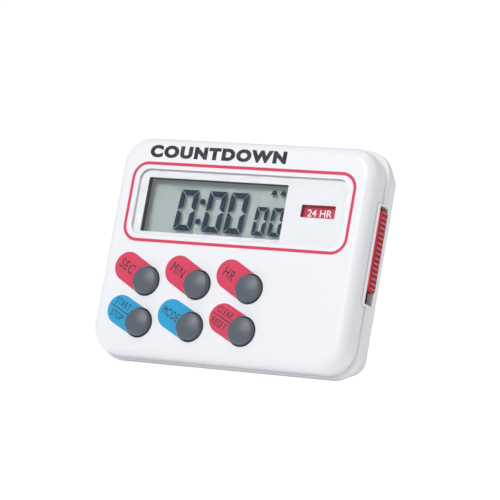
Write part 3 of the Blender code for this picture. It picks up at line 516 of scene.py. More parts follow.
plastics = {
    "whiteGloss": dict(colour=(0.86, 0.868, 0.90), roughness=0.34, drift=0.015, wear=0.15, bump=0.05,
                       grain=2500.0, dust=0.04, subsurface=0.15),
    "whiteGrain": dict(colour=(0.84, 0.845, 0.875), roughness=0.46, drift=0.02, wear=0.15, bump=0.25,
                       grain=4500.0, subsurface=0.1),
    "whitePrint": dict(colour=(0.673, 0.681, 0.704), roughness=0.45, drift=0.015, wear=0.0, bump=0.04),
    "redPrint": dict(colour=(0.70, 0.062, 0.128), roughness=0.55, drift=0.02, wear=0.0, grain=6000.0,
                     specular=0.2),
    "bluePrint": dict(colour=(0.033, 0.36, 0.65), roughness=0.55, drift=0.02, wear=0.0, grain=6000.0,
                      specular=0.2),
    "blackPrint": dict(colour=(0.022, 0.022, 0.03), roughness=0.55, worn=(0.2, 0.2, 0.2), drift=0.1,
                       grain=6000.0, specular=0.2),
    "whiteInk": dict(colour=(0.85, 0.85, 0.86), roughness=0.5, drift=0.04, wear=0.0, specular=0.3),
    "redPlastic": dict(colour=(0.36, 0.010, 0.022), roughness=0.5, worn=(0.5, 0.06, 0.09), wear=0.2,
                       drift=0.06, bump=0.15, dust=0.02, specular=0.25),
    # lighter copies of the slider's red: a painted highlight for the rib tops and painted light for the front
    # edge
    "redRibPaintedHighlight": dict(colour=(0.72, 0.20, 0.24), roughness=0.4, worn=(0.9, 0.5, 0.5), drift=0.05, coat=0.2),
    "redFrontPaintedLight": dict(colour=(0.80, 0.012, 0.05), roughness=0.35, drift=0.04, coat=0.2),
    "flagRed": dict(colour=(0.46, 0.02, 0.05), roughness=0.45, drift=0.05, specular=0.25),
    "greyCap": dict(colour=(0.094, 0.110, 0.140), roughness=0.38, worn=(0.16, 0.17, 0.19), wear=0.4,
                    drift=0.10, grain=6000.0, bump=0.12, dust=0.1),
    "blackMatt": dict(colour=(0.012, 0.012, 0.014), roughness=0.6, drift=0.1),
    "lcdInk": dict(colour=(0.016, 0.034, 0.062), roughness=0.6, drift=0.05, wear=0.0, dust=0.0,
                   specular=0.0),
    "silicone": dict(colour=(0.30, 0.31, 0.33), roughness=0.65, drift=0.06, bump=0.2),
    "epoxy": dict(colour=(0.015, 0.015, 0.016), roughness=0.3, drift=0.2),
    "sleeve": dict(colour=(0.03, 0.04, 0.16), roughness=0.3, drift=0.1),
    "ceramicDisc": dict(colour=(0.66, 0.63, 0.52), roughness=0.5, drift=0.1, bump=0.3),
    "redWire": dict(colour=(0.55, 0.02, 0.03), roughness=0.4, drift=0.08),
    "blackWire": dict(colour=(0.02, 0.02, 0.02), roughness=0.4, drift=0.08),
    "ferrite": dict(colour=(0.045, 0.045, 0.05), roughness=0.55, worn=(0.14, 0.14, 0.14), wear=0.8,
                    drift=0.25, grain=2500.0, bump=0.4),
}
metals = {"steel": ((0.60, 0.60, 0.62), 0.28), "brass": ((0.72, 0.53, 0.24), 0.30)}
clears = {"clearAcrylic": ((0.985, 0.99, 1.0), 1.33), "lcdGlass": ((0.98, 0.99, 0.985), 1.2)}
stripes = {
    "zebra": dict(first=(0.70, 0.42, 0.48), second=(0.03, 0.03, 0.03), axis=0, period=0.5 * mm),
    "resistorBands": dict(first=(0.62, 0.47, 0.30), second=(0.25, 0.06, 0.03), axis=2, period=0.9 * mm,
                          roughness=0.4, share=0.6),
    "cellJacket": dict(first=(0.62, 0.63, 0.65), second=(0.03, 0.16, 0.10), axis=0, period=60 * mm,
                       roughness=0.3),
}
palette = {name: plasticMaterial(name, **setting) for name, setting in plastics.items()}
palette.update({name: metalMaterial(name, *setting) for name, setting in metals.items()})
palette.update({name: clearMaterial(name, *setting) for name, setting in clears.items()})
palette.update({name: stripedMaterial(name, **setting) for name, setting in stripes.items()})
palette["board"] = boardMaterial()
palette["backingPaintedGlow"] = displayBackingWithPaintedGlow()
print("materials made:", len(palette))


# case
capRadius = 3.78 * mm
flagWindow = {"halfX": 5.15 * mm, "halfZ": 1.75 * mm, "centre": (24.1 * mm, 12.18 * mm)}
frontCase = {
    "fillet": 3.1 * mm, "corner": 7.9 * mm, "depth": 7.0 * mm, "faceWall": 2.0 * mm, "wall": 1.7 * mm,
    "lip": 0.08 * mm, "seatCorner": 3.0 * mm, "seatDepth": 1.1 * mm, "seatGap": 0.06 * mm,
    "windowCorner": 0.3 * mm, "windowGap": 0.15 * mm, "edgeRound": 0.18 * mm, "holeGap": 0.35 * mm,
    "postEnd": 9.85 * mm, "pilot": 0.95 * mm,
}
slotPad = {"rim": 0.6 * mm, "corner": 0.9 * mm, "front": 5.2 * mm, "slotDepth": 4.7 * mm,
           "hiddenLip": 1.2 * mm, "roomBelow": 2.45 * mm, "roomAbove": 0.8 * mm}
slotLow = caseBox("mode_slider")[0].z + slotPad["hiddenLip"] - slotPad["roomBelow"]
slotHigh = caseBox("mode_slider")[1].z - slotPad["hiddenLip"] + slotPad["roomAbove"]
postRadius = 2.8 * mm
screwX, screwZ = faceSpan("case_screw_1")[0]
screwPlaces = [(sx * screwX, sz * screwZ) for sx in (1, -1) for sz in (1, -1)]
buttonNames = [n for n in frame["nodes"] if n.startswith("button_")]
magnetNames = ("magnet_1", "magnet_2")


def mouth(depth, rounding):  # rows of growth and depth for a cutter whose mouth widens in a small round
    return [(rounding, -0.6 * mm)] + roundFrom(rounding, 0, 5) + [(0, depth)]


def posts(fromDepth, toDepth, radius, steps=40):  # one round each case screw
    return [turned("post", [(radius, fromDepth), (radius, toDepth)], place, steps) for place in screwPlaces]


def padOutline(grow, rearDepth, part=slotPad, steps=8):  # the rim round the slot, as depth and height
    front, radius = part["front"] - part["rim"] - grow, part["corner"]
    low, high = slotLow - part["rim"] - grow, slotHigh + part["rim"] + grow
    points = [(rearDepth, low), (rearDepth, high)]
    for z, inward, start in ((high, -1, 90), (low, 1, 180)):
        for i in range(steps + 1):
            angle = math.radians(start + 90 * i / steps)
            points.append((front + radius + radius * math.cos(angle),
                           z + inward * radius + radius * math.sin(angle)))
    return points


def makeFrontShell(part=frontCase):
    _, high = caseBox("front_cover")
    halfX, halfZ, wall, rear = high.x, high.z, part["wall"], part["depth"]
    outside = roundFrom(part["fillet"], 0, 14) + [(0, rear - part["lip"]), (part["lip"], rear)]
    inside = [(0, rear)] + roundTo(part["fillet"] - wall, part["faceWall"], 5, 1)
    rings = roundedRings(halfX, halfZ, part["corner"], outside)
    rings += roundedRings(halfX - wall, halfZ - wall, part["corner"] - wall, inside)
    added = posts(part["faceWall"] - 0.5 * mm, part["postEnd"], postRadius)
    shell = boolean(loftMesh("frontShell", rings), "UNION", added)
    cutters = posts(3.5 * mm, 12 * mm, part["pilot"], 24)
    lens, lensX, lensZ = faceSpan("window_lens")
    seat = [(-grow, y) for grow, y in mouth(part["seatDepth"], 0.5 * part["edgeRound"])]
    cutters.append(loftMesh("lensSeat", roundedRings(
        lensX + part["seatGap"], lensZ + part["seatGap"], part["seatCorner"], seat, lens
    )))
    display, displayX, displayZ = faceSpan("lcd_bezel")
    gap, through = part["windowGap"], [(0, 0.5 * mm), (0, 3 * mm)]
    for centre, openX, openZ in ((display, displayX + gap, displayZ + gap),
                                 (flagWindow["centre"], flagWindow["halfX"], flagWindow["halfZ"])):
        rings = roundedRings(openX, openZ, part["windowCorner"], through, centre, 6)
        cutters.append(loftMesh("window", rings))
    for name in buttonNames:
        rows = [(capRadius + part["holeGap"] + grow, y) for grow, y in mouth(3 * mm, part["edgeRound"])]
        cutters.append(turned(name, rows, spotOf(name), 96))
    notch = padOutline(0.15 * mm, rear + mm)
    cutters.append(sideways("notch", notch, halfX - wall - 1.5 * mm, halfX + mm))
    shell = boolean(shell, "DIFFERENCE", cutters)
    return smooth(placed("frontShell", shell, "case", "whiteGloss", ["front_cover"]))


makeFrontShell()
print("front shell made")

rearCase = {
    "corner": 7.3 * mm, "rim": 7.06 * mm, "straightTo": 9.05 * mm, "backRound": 1.3 * mm, "wall": 1.7 * mm,
    "rimRound": 0.35 * mm, "padRound": 0.22 * mm, "bayHalf": 5.5 * mm, "tubWall": 0.8 * mm,
    "standHalf": 15.3 * mm, "standAbove": 1.6 * mm, "standDepth": 3.1 * mm, "standWall": 2.2 * mm,
    "magnetCup": 6.65 * mm, "magnetPocket": 5.65 * mm, "screwSink": 2.25 * mm, "screwBore": 1.1 * mm,
    "pegSocket": 1.05 * mm, "pegReach": 16.8 * mm, "soundHole": 0.8 * mm, "soundRing": 3.2 * mm,
}
standJoint = next(j for j in frame["joints"] if j["name"] == "stand_fold")
hingeSpot = caseMatrix.inverted() @ Vector(standJoint["pos_m"])


def cellMiddle():
    low, high = caseBox("battery")
    return (low + high) / 2


def rearInset(y):
    return max(0.0, y - rearCase["straightTo"]) * math.tan(lean)


def rearProfile(back, part=rearCase):  # rows of inset and depth, from the flat back to the inside floor
    sweep, radius, wall = math.pi / 2 - lean, part["backRound"], part["wall"]
    flat = rearInset(back - radius * (1 - math.cos(sweep))) + radius * math.sin(sweep)
    turns = [sweep * i / 8 for i in range(9)]
    rows = [(flat - radius * math.sin(turn), back - radius * (1 - math.cos(turn))) for turn in turns]
    rows += [(rearInset(y), y) for y in (11.5 * mm, part["straightTo"] + 0.25 * mm)]
    rows.append((0, part["straightTo"] - 0.15 * mm))
    rows += roundTo(part["rimRound"], part["rim"], 4, 1)
    return rows + [(wall + rearInset(y), y) for y in (part["rim"], part["straightTo"], back - wall)]


def rearHole(name, place, radius, start, back, flare, steps=72):  # a hole in the back with a wider mouth
    wide, inner, outer = flare
    mouthRadius = radius + wide
    rows = [(radius, start), (radius, back - inner), (mouthRadius, back + outer), (mouthRadius, back + mm)]
    return turned(name, rows, place, steps)


def makeRearShell(part=rearCase):
    _, high = caseBox("rear_cover")
    halfX, halfZ, back = high.x, high.z, high.y
    shell = loftMesh("rearShell", roundedRings(halfX, halfZ, part["corner"], rearProfile(back)))
    floor = back - part["wall"]
    _, bayY, bayZ = cellMiddle()
    half, tub = part["bayHalf"], part["tubWall"]
    doorLow, doorHigh = caseBox("battery_door")
    left, right, door = caseBox("negative_spring")[0].x - 0.2 * mm, doorHigh.x, doorLow.y
    tongue = (doorHigh.z - doorLow.z) / 2 + 0.6 * mm
    standHalf, standTop, side = part["standHalf"], hingeSpot.z + part["standAbove"], part["standWall"]
    adds = [
        sideways("pad", padOutline(0, part["rim"] + 0.9 * mm), halfX - part["wall"] + 0.1 * mm, halfX,
                 part["padRound"]),
        boxMesh("tub", (left - tub, 4.65 * mm, bayZ - half - tub),
                (right + tub, door + 0.5 * mm, bayZ + half + tub)),
        boxMesh("doorFrame", (-halfX + rearInset(back) + 0.6 * mm, door - 1.2 * mm, bayZ - tongue - mm),
                (right + 1.8 * mm, door + mm, bayZ + tongue + mm)),
        boxMesh("standTub", (-standHalf - side, back - 4.3 * mm, -halfZ + rearInset(back - mm) + 0.3 * mm),
                (standHalf + side, back - mm, standTop + 0.9 * mm)),
    ]
    adds += posts(10 * mm, floor + 0.5 * mm, postRadius)
    for name in magnetNames:
        rows = [(part["magnetCup"], y) for y in (14.2 * mm, floor + 0.5 * mm)]
        adds.append(turned("cup", rows, spotOf(name)))
    shell = boolean(shell, "UNION", adds)
    cutters = [
        boxMesh("slot", (halfX - 3.7 * mm, slotPad["front"], slotLow),
                (halfX + mm, slotPad["front"] + slotPad["slotDepth"], slotHigh)),
        boxMesh("bay", (left, bayY - 5.4 * mm, bayZ - half), (right, back, bayZ + half)),
        boxMesh("tongueSeat", (-halfX - mm, door - 0.15 * mm, bayZ - tongue),
                (right + 0.3 * mm, door + 0.75 * mm, bayZ + tongue)),
        boxMesh("plateSeat", (-halfX - mm, door - 0.15 * mm, bayZ - half - 0.3 * mm),
                (right + 0.3 * mm, back + mm, bayZ + half + 0.3 * mm)),
        boxMesh("standHollow", (-standHalf, back - part["standDepth"], -halfZ - mm),
                (standHalf, back + mm, standTop)),
    ]
    reach = part["pegReach"]
    peg = turned("socket", [(part["pegSocket"], y) for y in (-reach, reach)], (0, 0), 40)
    cutters.append(moved(peg, Matrix.Translation(hingeSpot) @ Matrix.Rotation(math.pi / 2, 4, "Z")))
    shallow, slight = (0.3 * mm, 0.2 * mm, 0.1 * mm), (0.2 * mm, 0.2 * mm, 0.02 * mm)
    for name in magnetNames:
        cutters.append(rearHole("pocket", spotOf(name), part["magnetPocket"], 15.2 * mm, back, shallow))
    for place in screwPlaces:
        countersink = (0.3 * mm, 0.25 * mm, 0.05 * mm)
        cutters.append(rearHole("sink", place, part["screwSink"], 14.35 * mm, back, countersink, 48))
        cutters.append(turned("bore", [(part["screwBore"], y) for y in (9 * mm, 15 * mm)], place, 32))
    holes = circle2d(part["soundRing"], spotOf("buzzer_disc"), 6) + [spotOf("buzzer_disc")]
    for place in holes:  # six on a ring and one in its middle
        cutters.append(rearHole("sound", place, part["soundHole"], floor - mm, back, slight, 28))
    shell = boolean(shell, "DIFFERENCE", cutters)
    return smooth(placed("rearShell", shell, "case", "whiteGrain", ["rear_cover"]))


makeRearShell()
print("rear shell made")


# display
displayPart = {
    "window": (-29.64 * mm, 13.96 * mm, 3.8 * mm, 18.91 * mm), "windowCorner": 0.25 * mm,
    "darkEdge": 0.24 * mm, "lensCorner": 2.85 * mm, "lensRound": 0.2 * mm, "bezelWall": 0.45 * mm,
    "frameHalf": (34.27 * mm, 10.78 * mm), "frameCorner": 4.2 * mm, "frameLine": 0.85 * mm,
}
printDepth = -0.02 * mm  # just proud of the face


def makeLens(part=displayPart):
    low, high = caseBox("window_lens")
    centre, halfX, halfZ = faceSpan("window_lens")
    rows = roundFrom(part["lensRound"], low.y, 4) + [(0, high.y)]
    lens = loftMesh("lensPlate", roundedRings(halfX, halfZ, part["lensCorner"], rows, centre))
    smooth(placed("lensPlate", lens, "case", "clearAcrylic", ["window_lens"]))
    windowCentre, openX, openZ = spanOf(*part["window"])
    corner, flag = part["windowCorner"], flagWindow
    window = outline2d(openX, openZ, corner, windowCentre, 6)
    small = outline2d(flag["halfX"], flag["halfZ"], corner, flag["centre"], 6)
    edge = outline2d(halfX - 0.05 * mm, halfZ - 0.05 * mm, part["lensCorner"], centre)
    mask = filledMesh("lensMask", [edge, window, small], high.y + 0.05 * mm)
    placed("lensMask", mask, "case", "whitePrint")
    line = part["frameLine"] / 2
    frameX, frameZ = part["frameHalf"]
    loops = [outline2d(frameX + d, frameZ + d, part["frameCorner"] + d, centre, 24) for d in (line, -line)]
    placed("framePrint", filledMesh("framePrint", loops, printDepth), "case", "redPrint")


def makeBezel(part=displayPart):  # its upper edge shows as a thin dark line above the display
    low, high = caseBox("lcd_bezel")
    wall = part["bezelWall"]
    top = part["window"][3] - part["darkEdge"]
    centre, halfX, halfZ = spanOf(low.x + wall, high.x - wall, low.z + wall, top)
    outerCentre, outerX, outerZ = faceSpan("lcd_bezel")
    rings = [roundedRing(outerX, outerZ, 0.3 * mm, y, outerCentre, 6) for y in (low.y, high.y)]
    rings += [roundedRing(halfX, halfZ, 0.2 * mm, y, centre, 6) for y in (high.y, low.y)]
    bezel = loftMesh("bezelRing", rings, True)
    smooth(placed("bezelRing", bezel, "case", "blackMatt", ["lcd_bezel"]))


def slab(name, node, rounding, finish):  # a plate with softened edges
    low, high = caseBox(node)
    centre, halfX, halfZ = faceSpan(node)
    rows = roundFrom(rounding, low.y, 3) + roundTo(rounding, high.y, 3)
    rings = [roundedRing(halfX - inset, halfZ - inset, 0.2 * mm, y, centre, 5) for inset, y in rows]
    return smooth(placed(name, loftMesh(name, rings), "case", finish, [node]))


# dark segments of slanted figures, with mitred corners and no middle bar
bigFigure = {"height": 11.4 * mm, "width": 5.7 * mm, "bar": 1.58 * mm, "gap": 0.15 * mm}
smallFigure = {"height": 7.9 * mm, "width": 3.9 * mm, "bar": 1.15 * mm, "gap": 0.13 * mm}
figurePlaces = {
    "slant": 0.075, "bigAt": (-17.4 * mm, -8.5 * mm, -1.65 * mm), "bigHeight": 10.75 * mm,
    "smallAt": (6.05 * mm, 11.0 * mm), "smallHeight": 9.0 * mm,
    "dots": ((-12.75 * mm, 13.3 * mm), (-13.15 * mm, 7.8 * mm)), "dotRadius": 0.85 * mm,
    "marks": ((8.9 * mm, 16.9 * mm), (11.7 * mm, 16.9 * mm)),
    "bell": ((1.1, -0.5), (0.75, -0.15), (0.65, 0.45), (0.3, 0.8)),  # its right half, in millimetres
}


def zeroFigure(centre, part, slant):
    w, h, bar, gap = part["width"] / 2, part["height"] / 2, part["bar"], part["gap"]
    level = [(-w + gap, h), (w - gap, h), (w - gap - bar, h - bar), (-w + gap + bar, h - bar)]
    tall = [(-w, h - gap), (-w, gap), (-w + 0.35 * bar, gap), (-w + bar, 0.5 * bar + gap),
            (-w + bar, h - gap - bar)]
    shapes = []
    for up in (1, -1):
        shapes.append([(x, up * z) for x, z in level])
        for across in (1, -1):
            shapes.append([(across * x, up * z) for x, z in tall])
    return [[(centre[0] + x + slant * z, centre[1] + z) for x, z in shape] for shape in shapes]


def makeDisplay(part=figurePlaces):
    slab("topGlass", "lcd_front_glass", 0.12 * mm, "lcdGlass")
    slab("bottomGlass", "lcd_rear_glass", 0.12 * mm, "lcdGlass")
    slab("backingFilm", "lcd_reflector", 0.05 * mm, "backingPaintedGlow")
    depth = caseBox("lcd_front_glass")[1].y + 0.07 * mm
    loops = []
    for figure, places, height in ((bigFigure, part["bigAt"], part["bigHeight"]),
                                   (smallFigure, part["smallAt"], part["smallHeight"])):
        for x in places:
            loops += zeroFigure((x, height), figure, part["slant"])
    loops += [circle2d(part["dotRadius"], spot, 24) for spot in part["dots"]]
    placed("litSegments", filledMesh("litSegments", loops, depth), "case", "lcdInk")
    bell = [(-1.1, -0.5), *part["bell"]] + [(-x, z) for x, z in reversed(part["bell"][1:])]
    loops = []
    for x, z in part["marks"]:
        loops.append([(x + dx * mm, z + dz * mm) for dx, dz in bell])
        loops.append(circle2d(0.25 * mm, (x, z - 0.85 * mm), 16))
    placed("bellMark", filledMesh("bellMark", loops, depth), "case", "lcdInk")


def makeFlagWallPaintedReflection(part=flagWindow):  # red ring over the small window's white walls: a painted red reflection of the flag on them
    front, back = 1.12 * mm, 2.2 * mm
    outside, inside = (0.02 * mm, 0.25 * mm), (0.12 * mm, 0.15 * mm)
    rings = []
    for (inset, corner), y in ((outside, front), (outside, back), (inside, back), (inside, front)):
        halfX, halfZ = part["halfX"] - inset, part["halfZ"] - inset
        rings.append(roundedRing(halfX, halfZ, corner, y, part["centre"], 6))
    placed("flagWallPaintedReflection", loftMesh("flagWallPaintedReflection", rings, True), "case", "flagRed")


flagWord = {"word": "24 HR", "height": 1.95 * mm, "width": 7.3 * mm, "centre": (24.0 * mm, 12.0 * mm),
            "bold": 0.005}


def makeFlagPrint(part=flagWord):
    mesh = wordMesh("flagPrint", depth=caseBox("mode_flag")[0].y + printDepth, **part)
    placed("flagPrint", mesh, "mode_switch", "whiteInk")


makeLens()
makeBezel()
makeDisplay()
makeFlagWallPaintedReflection()
makeFlagPrint()
print("display made")


# printed title
title = {"word": "COUNTDOWN", "height": 3.5 * mm, "width": 42.7 * mm, "centre": (-9.05 * mm, 26.1 * mm),
         "bold": 0.068, "spacing": 1.22}
placed("titlePrint", wordMesh("titlePrint", depth=printDepth, **title), "case", "blackPrint")

# buttons and their pills
capShape = {"proud": 2.0 * mm, "crown": 0.55 * mm, "edge": 0.16 * mm, "face": 3.48 * mm, "foot": 2.15 * mm,
            "flangeEdge": 0.1 * mm}
pill = {"upper": (math.radians(151.5), 7.45 * mm), "lower": (math.radians(154.5), 7.1 * mm),
        "radius": 4.1 * mm, "ring": 4.22 * mm}  # the way and reach to its far end; the hole's ring
legends = {  # pill, print, then word, height, length and height above the axis in millimetres
    "seconds": ("upper", "redPrint", ("SEC", 2.7, 4.9, 0.0)),
    "minutes": ("upper", "redPrint", ("MIN", 2.7, 4.5, 0.0)),
    "hours": ("upper", "redPrint", ("HR", 2.7, 3.6, 0.0)),
    "start_stop": ("lower", "bluePrint", ("START", 1.9, 5.2, 1.75), ("STOP", 1.9, 4.4, -1.75)),
    "mode": ("lower", "bluePrint", ("MODE", 2.3, 5.6, 0.0)),
    "clear": ("lower", "redPrint", ("CLEAR", 1.9, 5.0, 1.75), ("RESET", 1.9, 5.0, -1.75)),
}


def makeButton(name, part=capShape):
    low, high = caseBox(name)
    edge, inner, rim = part["edge"], part["face"] - part["edge"], part["crown"] - part["proud"]
    rows = [(inner * (i / 10), -part["proud"] + part["crown"] * (i / 10) ** 2) for i in range(1, 11)]
    rows += [(inner + edge * sine, rim + edge * (1 - cosine)) for sine, cosine in quarter(4)[1:]]
    rows += [(capRadius - 0.03 * mm, -0.35 * mm), (capRadius, 0.1 * mm), (capRadius, part["foot"])]
    flange, edge = (high.x - low.x) / 2, part["flangeEdge"]
    rows += [(flange - edge, part["foot"]), (flange, part["foot"] + edge), (flange, high.y - edge),
             (flange - edge, high.y)]
    cap = turned(name + "_cap", rows, spotOf(name), 64)
    smooth(placed("cap_" + name[7:], cap, name, "greyCap", [name]), 40)


def pillOutline(x, z, angle, reach, part=pill, steps=28):  # round far end, hollowed by the button's hole
    farX, farZ = x + reach * math.cos(angle), z + reach * math.sin(angle)
    spread = math.asin(part["radius"] / part["ring"])
    loop = []
    for i in range(steps + 1):
        turn = angle - math.pi / 2 + math.pi * i / steps
        loop.append((farX + part["radius"] * math.cos(turn), farZ + part["radius"] * math.sin(turn)))
    for i in range(steps + 1):
        turn = angle + spread - 2 * spread * i / steps
        loop.append((x + part["ring"] * math.cos(turn), z + part["ring"] * math.sin(turn)))
    return loop


def makePill(label, x, z, row, finish, *words):
    mesh = filledMesh("pill_" + label, [pillOutline(x, z, *pill[row])], printDepth)
    placed("pill_" + label, mesh, "case", finish)


def makeLegend(label, x, z, row, finish, *words):
    angle, reach = pill[row]
    meshes = [wordMesh(label, word, height * mm, length * mm, (0, above * mm), 0, spacing=1.1)
              for word, height, length, above in words]
    if len(meshes) > 1:
        left, right, half = -3.3 * mm, 2.9 * mm, 0.13 * mm
        meshes.append(filledMesh("bar", [[(left, -half), (right, -half), (right, half), (left, half)]], 0))
    mesh = moved(joined("legend_" + label, meshes), Matrix.Rotation(math.pi - angle, 4, "Y"))
    reach *= 1.02
    spot = (x + reach * math.cos(angle), -0.045 * mm, z + reach * math.sin(angle))
    matrix = caseMatrix @ Matrix.Translation(spot)
    placed("legend_" + label, mesh, "case", "blackPrint", matrix=matrix)


for buttonName in buttonNames:
    makeButton(buttonName)
for makePrint in (makePill, makeLegend):
    for buttonName in buttonNames:
        label = buttonName[7:]
        makePrint(label, *spotOf(buttonName), *legends[label])
print("buttons and prints made")


# slider
sliderPart = {"below": 2.0 * mm, "sideLip": 0.4 * mm, "pitch": 1.37 * mm, "count": 16, "ribHeight": 0.3 * mm,
              "ribHalf": 0.16 * mm, "corner": 1.7 * mm, "chamfer": 0.6 * mm, "baseDepth": 1.3 * mm}


def makeSlider(part=sliderPart):
    low, high = caseBox("mode_slider")
    top, bottom = high.z - slotPad["hiddenLip"], low.z + part["below"]
    front, back = low.y + part["sideLip"], high.y - part["sideLip"]
    face, inner, chamfer = high.x - part["ribHeight"], low.x + 0.3 * mm, part["chamfer"]
    profile = ((front, chamfer), (front + chamfer - 0.08 * mm, 0.1 * mm), (front + chamfer + 0.12 * mm, 0),
               (back - 0.3 * mm, 0), (back - 0.08 * mm, 0.09 * mm), (back, 0.3 * mm))
    knob = loftMesh("knob", [
        [(face - inset, y, top), (face - inset, y, bottom), (inner, y, bottom), (inner, y, top)]
        for y, inset in profile
    ])
    centre, halfY, halfZ = spanOf(front, back, bottom, top)
    shape = outline2d(halfY + 0.01 * mm, halfZ, part["corner"], centre, 10)
    knob = boolean(knob, "INTERSECT", [sideways("knobShape", shape, inner - mm, high.x + mm)])
    ribs = []
    height, halfRib, turns = part["ribHeight"], part["ribHalf"], [math.pi * step / 8 for step in range(16)]
    for i in range(part["count"]):
        z = top - part["pitch"] * (i + 0.6)
        end = back - (0.9 * mm if i in (0, part["count"] - 1) else 0.35 * mm)
        rings = []
        for y, share in ((front + 0.72 * mm, 0.5), (front + 0.9 * mm, 1), (end - 0.2 * mm, 1), (end, 0.5)):
            rings.append([(face + share * height * math.cos(turn), y, z + halfRib * math.sin(turn))
                          for turn in turns])
        ribs.append(loftMesh("rib", rings))
    base = boxMesh("base", low, (low.x + part["baseDepth"], high.y, high.z))
    knob = boolean(knob, "UNION", ribs + [base])
    tones = []  # which finish each face has: plain, a painted highlight on the rib tops, painted light on the front edge
    for polygon in knob.polygons:
        # rib tops get a paler red: a painted highlight where the top light catches them
        wearAndPaintedHighlight = polygon.center.x > face + 0.04 * mm
        # faces turned to the front get a brighter red: painted light from the front softbox
        edge = polygon.normal.y < -0.5 and polygon.center.x > inner + mm
        tones.append(1 if wearAndPaintedHighlight else 2 if edge else 0)
    piece = placed("sliderKnob", knob, "mode_switch", "redPlastic", ["mode_slider"])
    # the painted highlight and the painted light, as extra finishes
    for finish in ("redRibPaintedHighlight", "redFrontPaintedLight"):
        piece.data.materials.append(palette[finish])
    piece.data.polygons.foreach_set("material_index", tones)
    smooth(piece, 38)


makeSlider()
print("slider made")


# back: door, stand, magnets, screws
doorPart = {"corner": 0.9 * mm, "edge": 0.3 * mm, "tongue": 0.6 * mm, "grooves": 6, "grooveFrom": 4.5 * mm,
            "groovePitch": 1.7 * mm, "grooveHalf": (0.42 * mm, 3.1 * mm), "arrow": (3.2 * mm, 2.2 * mm)}


def hollow(name, halfX, halfZ, corner, centre, surface, rows, steps=6):  # rows of growth and height
    rows = [(-grow, surface + rise) for grow, rise in rows]
    return loftMesh(name, roundedRings(halfX, halfZ, corner, rows, centre, steps))


def makeDoor(part=doorPart):
    low, high = caseBox("battery_door")
    centre, halfX, halfZ = faceSpan("battery_door")
    halfZ -= part["tongue"]
    rows = [(0, low.y)] + roundTo(part["edge"], high.y, 5)
    door = loftMesh("door", [roundedRing(halfX - inset, halfZ - inset, part["corner"], y, centre, 8)
                             for inset, y in rows])
    tongues = boxMesh("tongues", (low.x + part["corner"], low.y, low.z),
                      (high.x - mm, low.y + part["tongue"], high.z))
    door = boolean(door, "UNION", [tongues])
    groove = ((-0.2 * mm, -0.4 * mm), (-0.05 * mm, -0.28 * mm), (0, -0.1 * mm), (0.12 * mm, 0.02 * mm),
              (0.12 * mm, mm))
    grooveX, grooveZ = part["grooveHalf"]
    starts = [low.x + part["grooveFrom"] + part["groovePitch"] * i for i in range(part["grooves"] + 1)]
    z = centre[1]
    cutters = [hollow("groove", grooveX, grooveZ, grooveX, (x, z), high.y, groove) for x in starts[:-1]]
    tip, (length, half) = starts[-1] + 1.5 * mm, part["arrow"]
    arrow = [(tip, z), (tip + length, z - half), (tip + length, z + half)]
    depths = (high.y - 0.25 * mm, high.y + mm)
    cutters.append(loftMesh("arrow", [[(x, y, z) for x, z in arrow] for y in depths]))
    door = boolean(door, "DIFFERENCE", cutters)
    smooth(placed("doorPlate", door, "battery_door", "whiteGrain", ["battery_door"]))


standPart = {"edge": 0.45 * mm, "peg": 0.9 * mm, "pegReach": 1.2 * mm, "panelSide": 4.0 * mm,
             "panelEnd": 5.0 * mm, "panelDepth": 0.45 * mm, "grooves": 3}
standSwing = -math.radians(standJoint["range_deg"][0])


def makeStand(part=standPart):
    matrix = caseMatrix @ Matrix.Translation(hingeSpot) @ Matrix.Rotation(standSwing, 4, "X")
    spots = [matrix.inverted() @ v.co for v in frame["nodes"]["stand"].data.vertices]
    half = max(p.x for p in spots) - part["pegReach"]
    radius = max(p.y for p in spots)
    foot = min(p.z for p in spots) + radius
    rightEnd = [(half - x, inset) for inset, x in roundTo(part["edge"], 0, 4, 1)]
    loops = []
    for x, inset in [(-x, inset) for x, inset in reversed(rightEnd)] + rightEnd:
        loop = []
        for start, z in ((0, 0), (math.pi, foot)):
            for i in range(17):
                angle = start + math.pi * i / 16
                loop.append((x, (radius - inset) * math.cos(angle), z + (radius - inset) * math.sin(angle)))
        loops.append(loop)
    end, thin = half + part["pegReach"], part["peg"] - 0.15 * mm
    peg = turned("peg", [(thin, -end), (part["peg"], -end + 0.15 * mm), (part["peg"], end - 0.15 * mm),
                         (thin, end)], (0, 0), 48)
    leg = boolean(loftMesh("leg", loops), "UNION", [moved(peg, Matrix.Rotation(math.pi / 2, 4, "Z"))])
    panel = [(grow, rise - part["panelDepth"]) for grow, rise in
             ((-0.2 * mm, 0), (-0.06 * mm, 0.06 * mm), (0, 0.2 * mm))]
    panel += [(0, -0.12 * mm), (0.12 * mm, 0.01 * mm), (0.12 * mm, mm)]
    cutters = [hollow("panel", half - part["panelSide"], -foot / 2 - part["panelEnd"], 2 * mm, (0, foot / 2),
                      radius, panel, 10)]
    grip = ((-0.15 * mm, -0.3 * mm), (0, -0.1 * mm), (0.1 * mm, 0.01 * mm), (0.1 * mm, mm))
    for i in range(part["grooves"]):
        place = (0, foot + (1.2 + 1.3 * i) * mm)
        cutters.append(hollow("grip", 5.0 * mm, 0.35 * mm, 0.35 * mm, place, radius, grip))
    leg = boolean(leg, "DIFFERENCE", cutters)
    smooth(placed("standLeg", leg, "stand", "whiteGrain", ["stand"], matrix))


def makeMagnet(name):
    low, high = caseBox(name)
    radius = (high.x - low.x) / 2
    rows = [(radius - 0.25 * mm, low.y), (radius, low.y + 0.25 * mm), (radius, high.y - 0.3 * mm),
            (radius - 0.1 * mm, high.y - 0.1 * mm), (radius - 0.35 * mm, high.y)]
    disc = turned(name + "_disc", rows, spotOf(name), 96)
    smooth(placed("disc_" + name, disc, "case", "ferrite", [name]))


screwShape = {"shank": 0.8 * mm, "headDepth": 1.3 * mm, "cross": (1.15, 0.22), "crossFloor": 0.35 * mm}


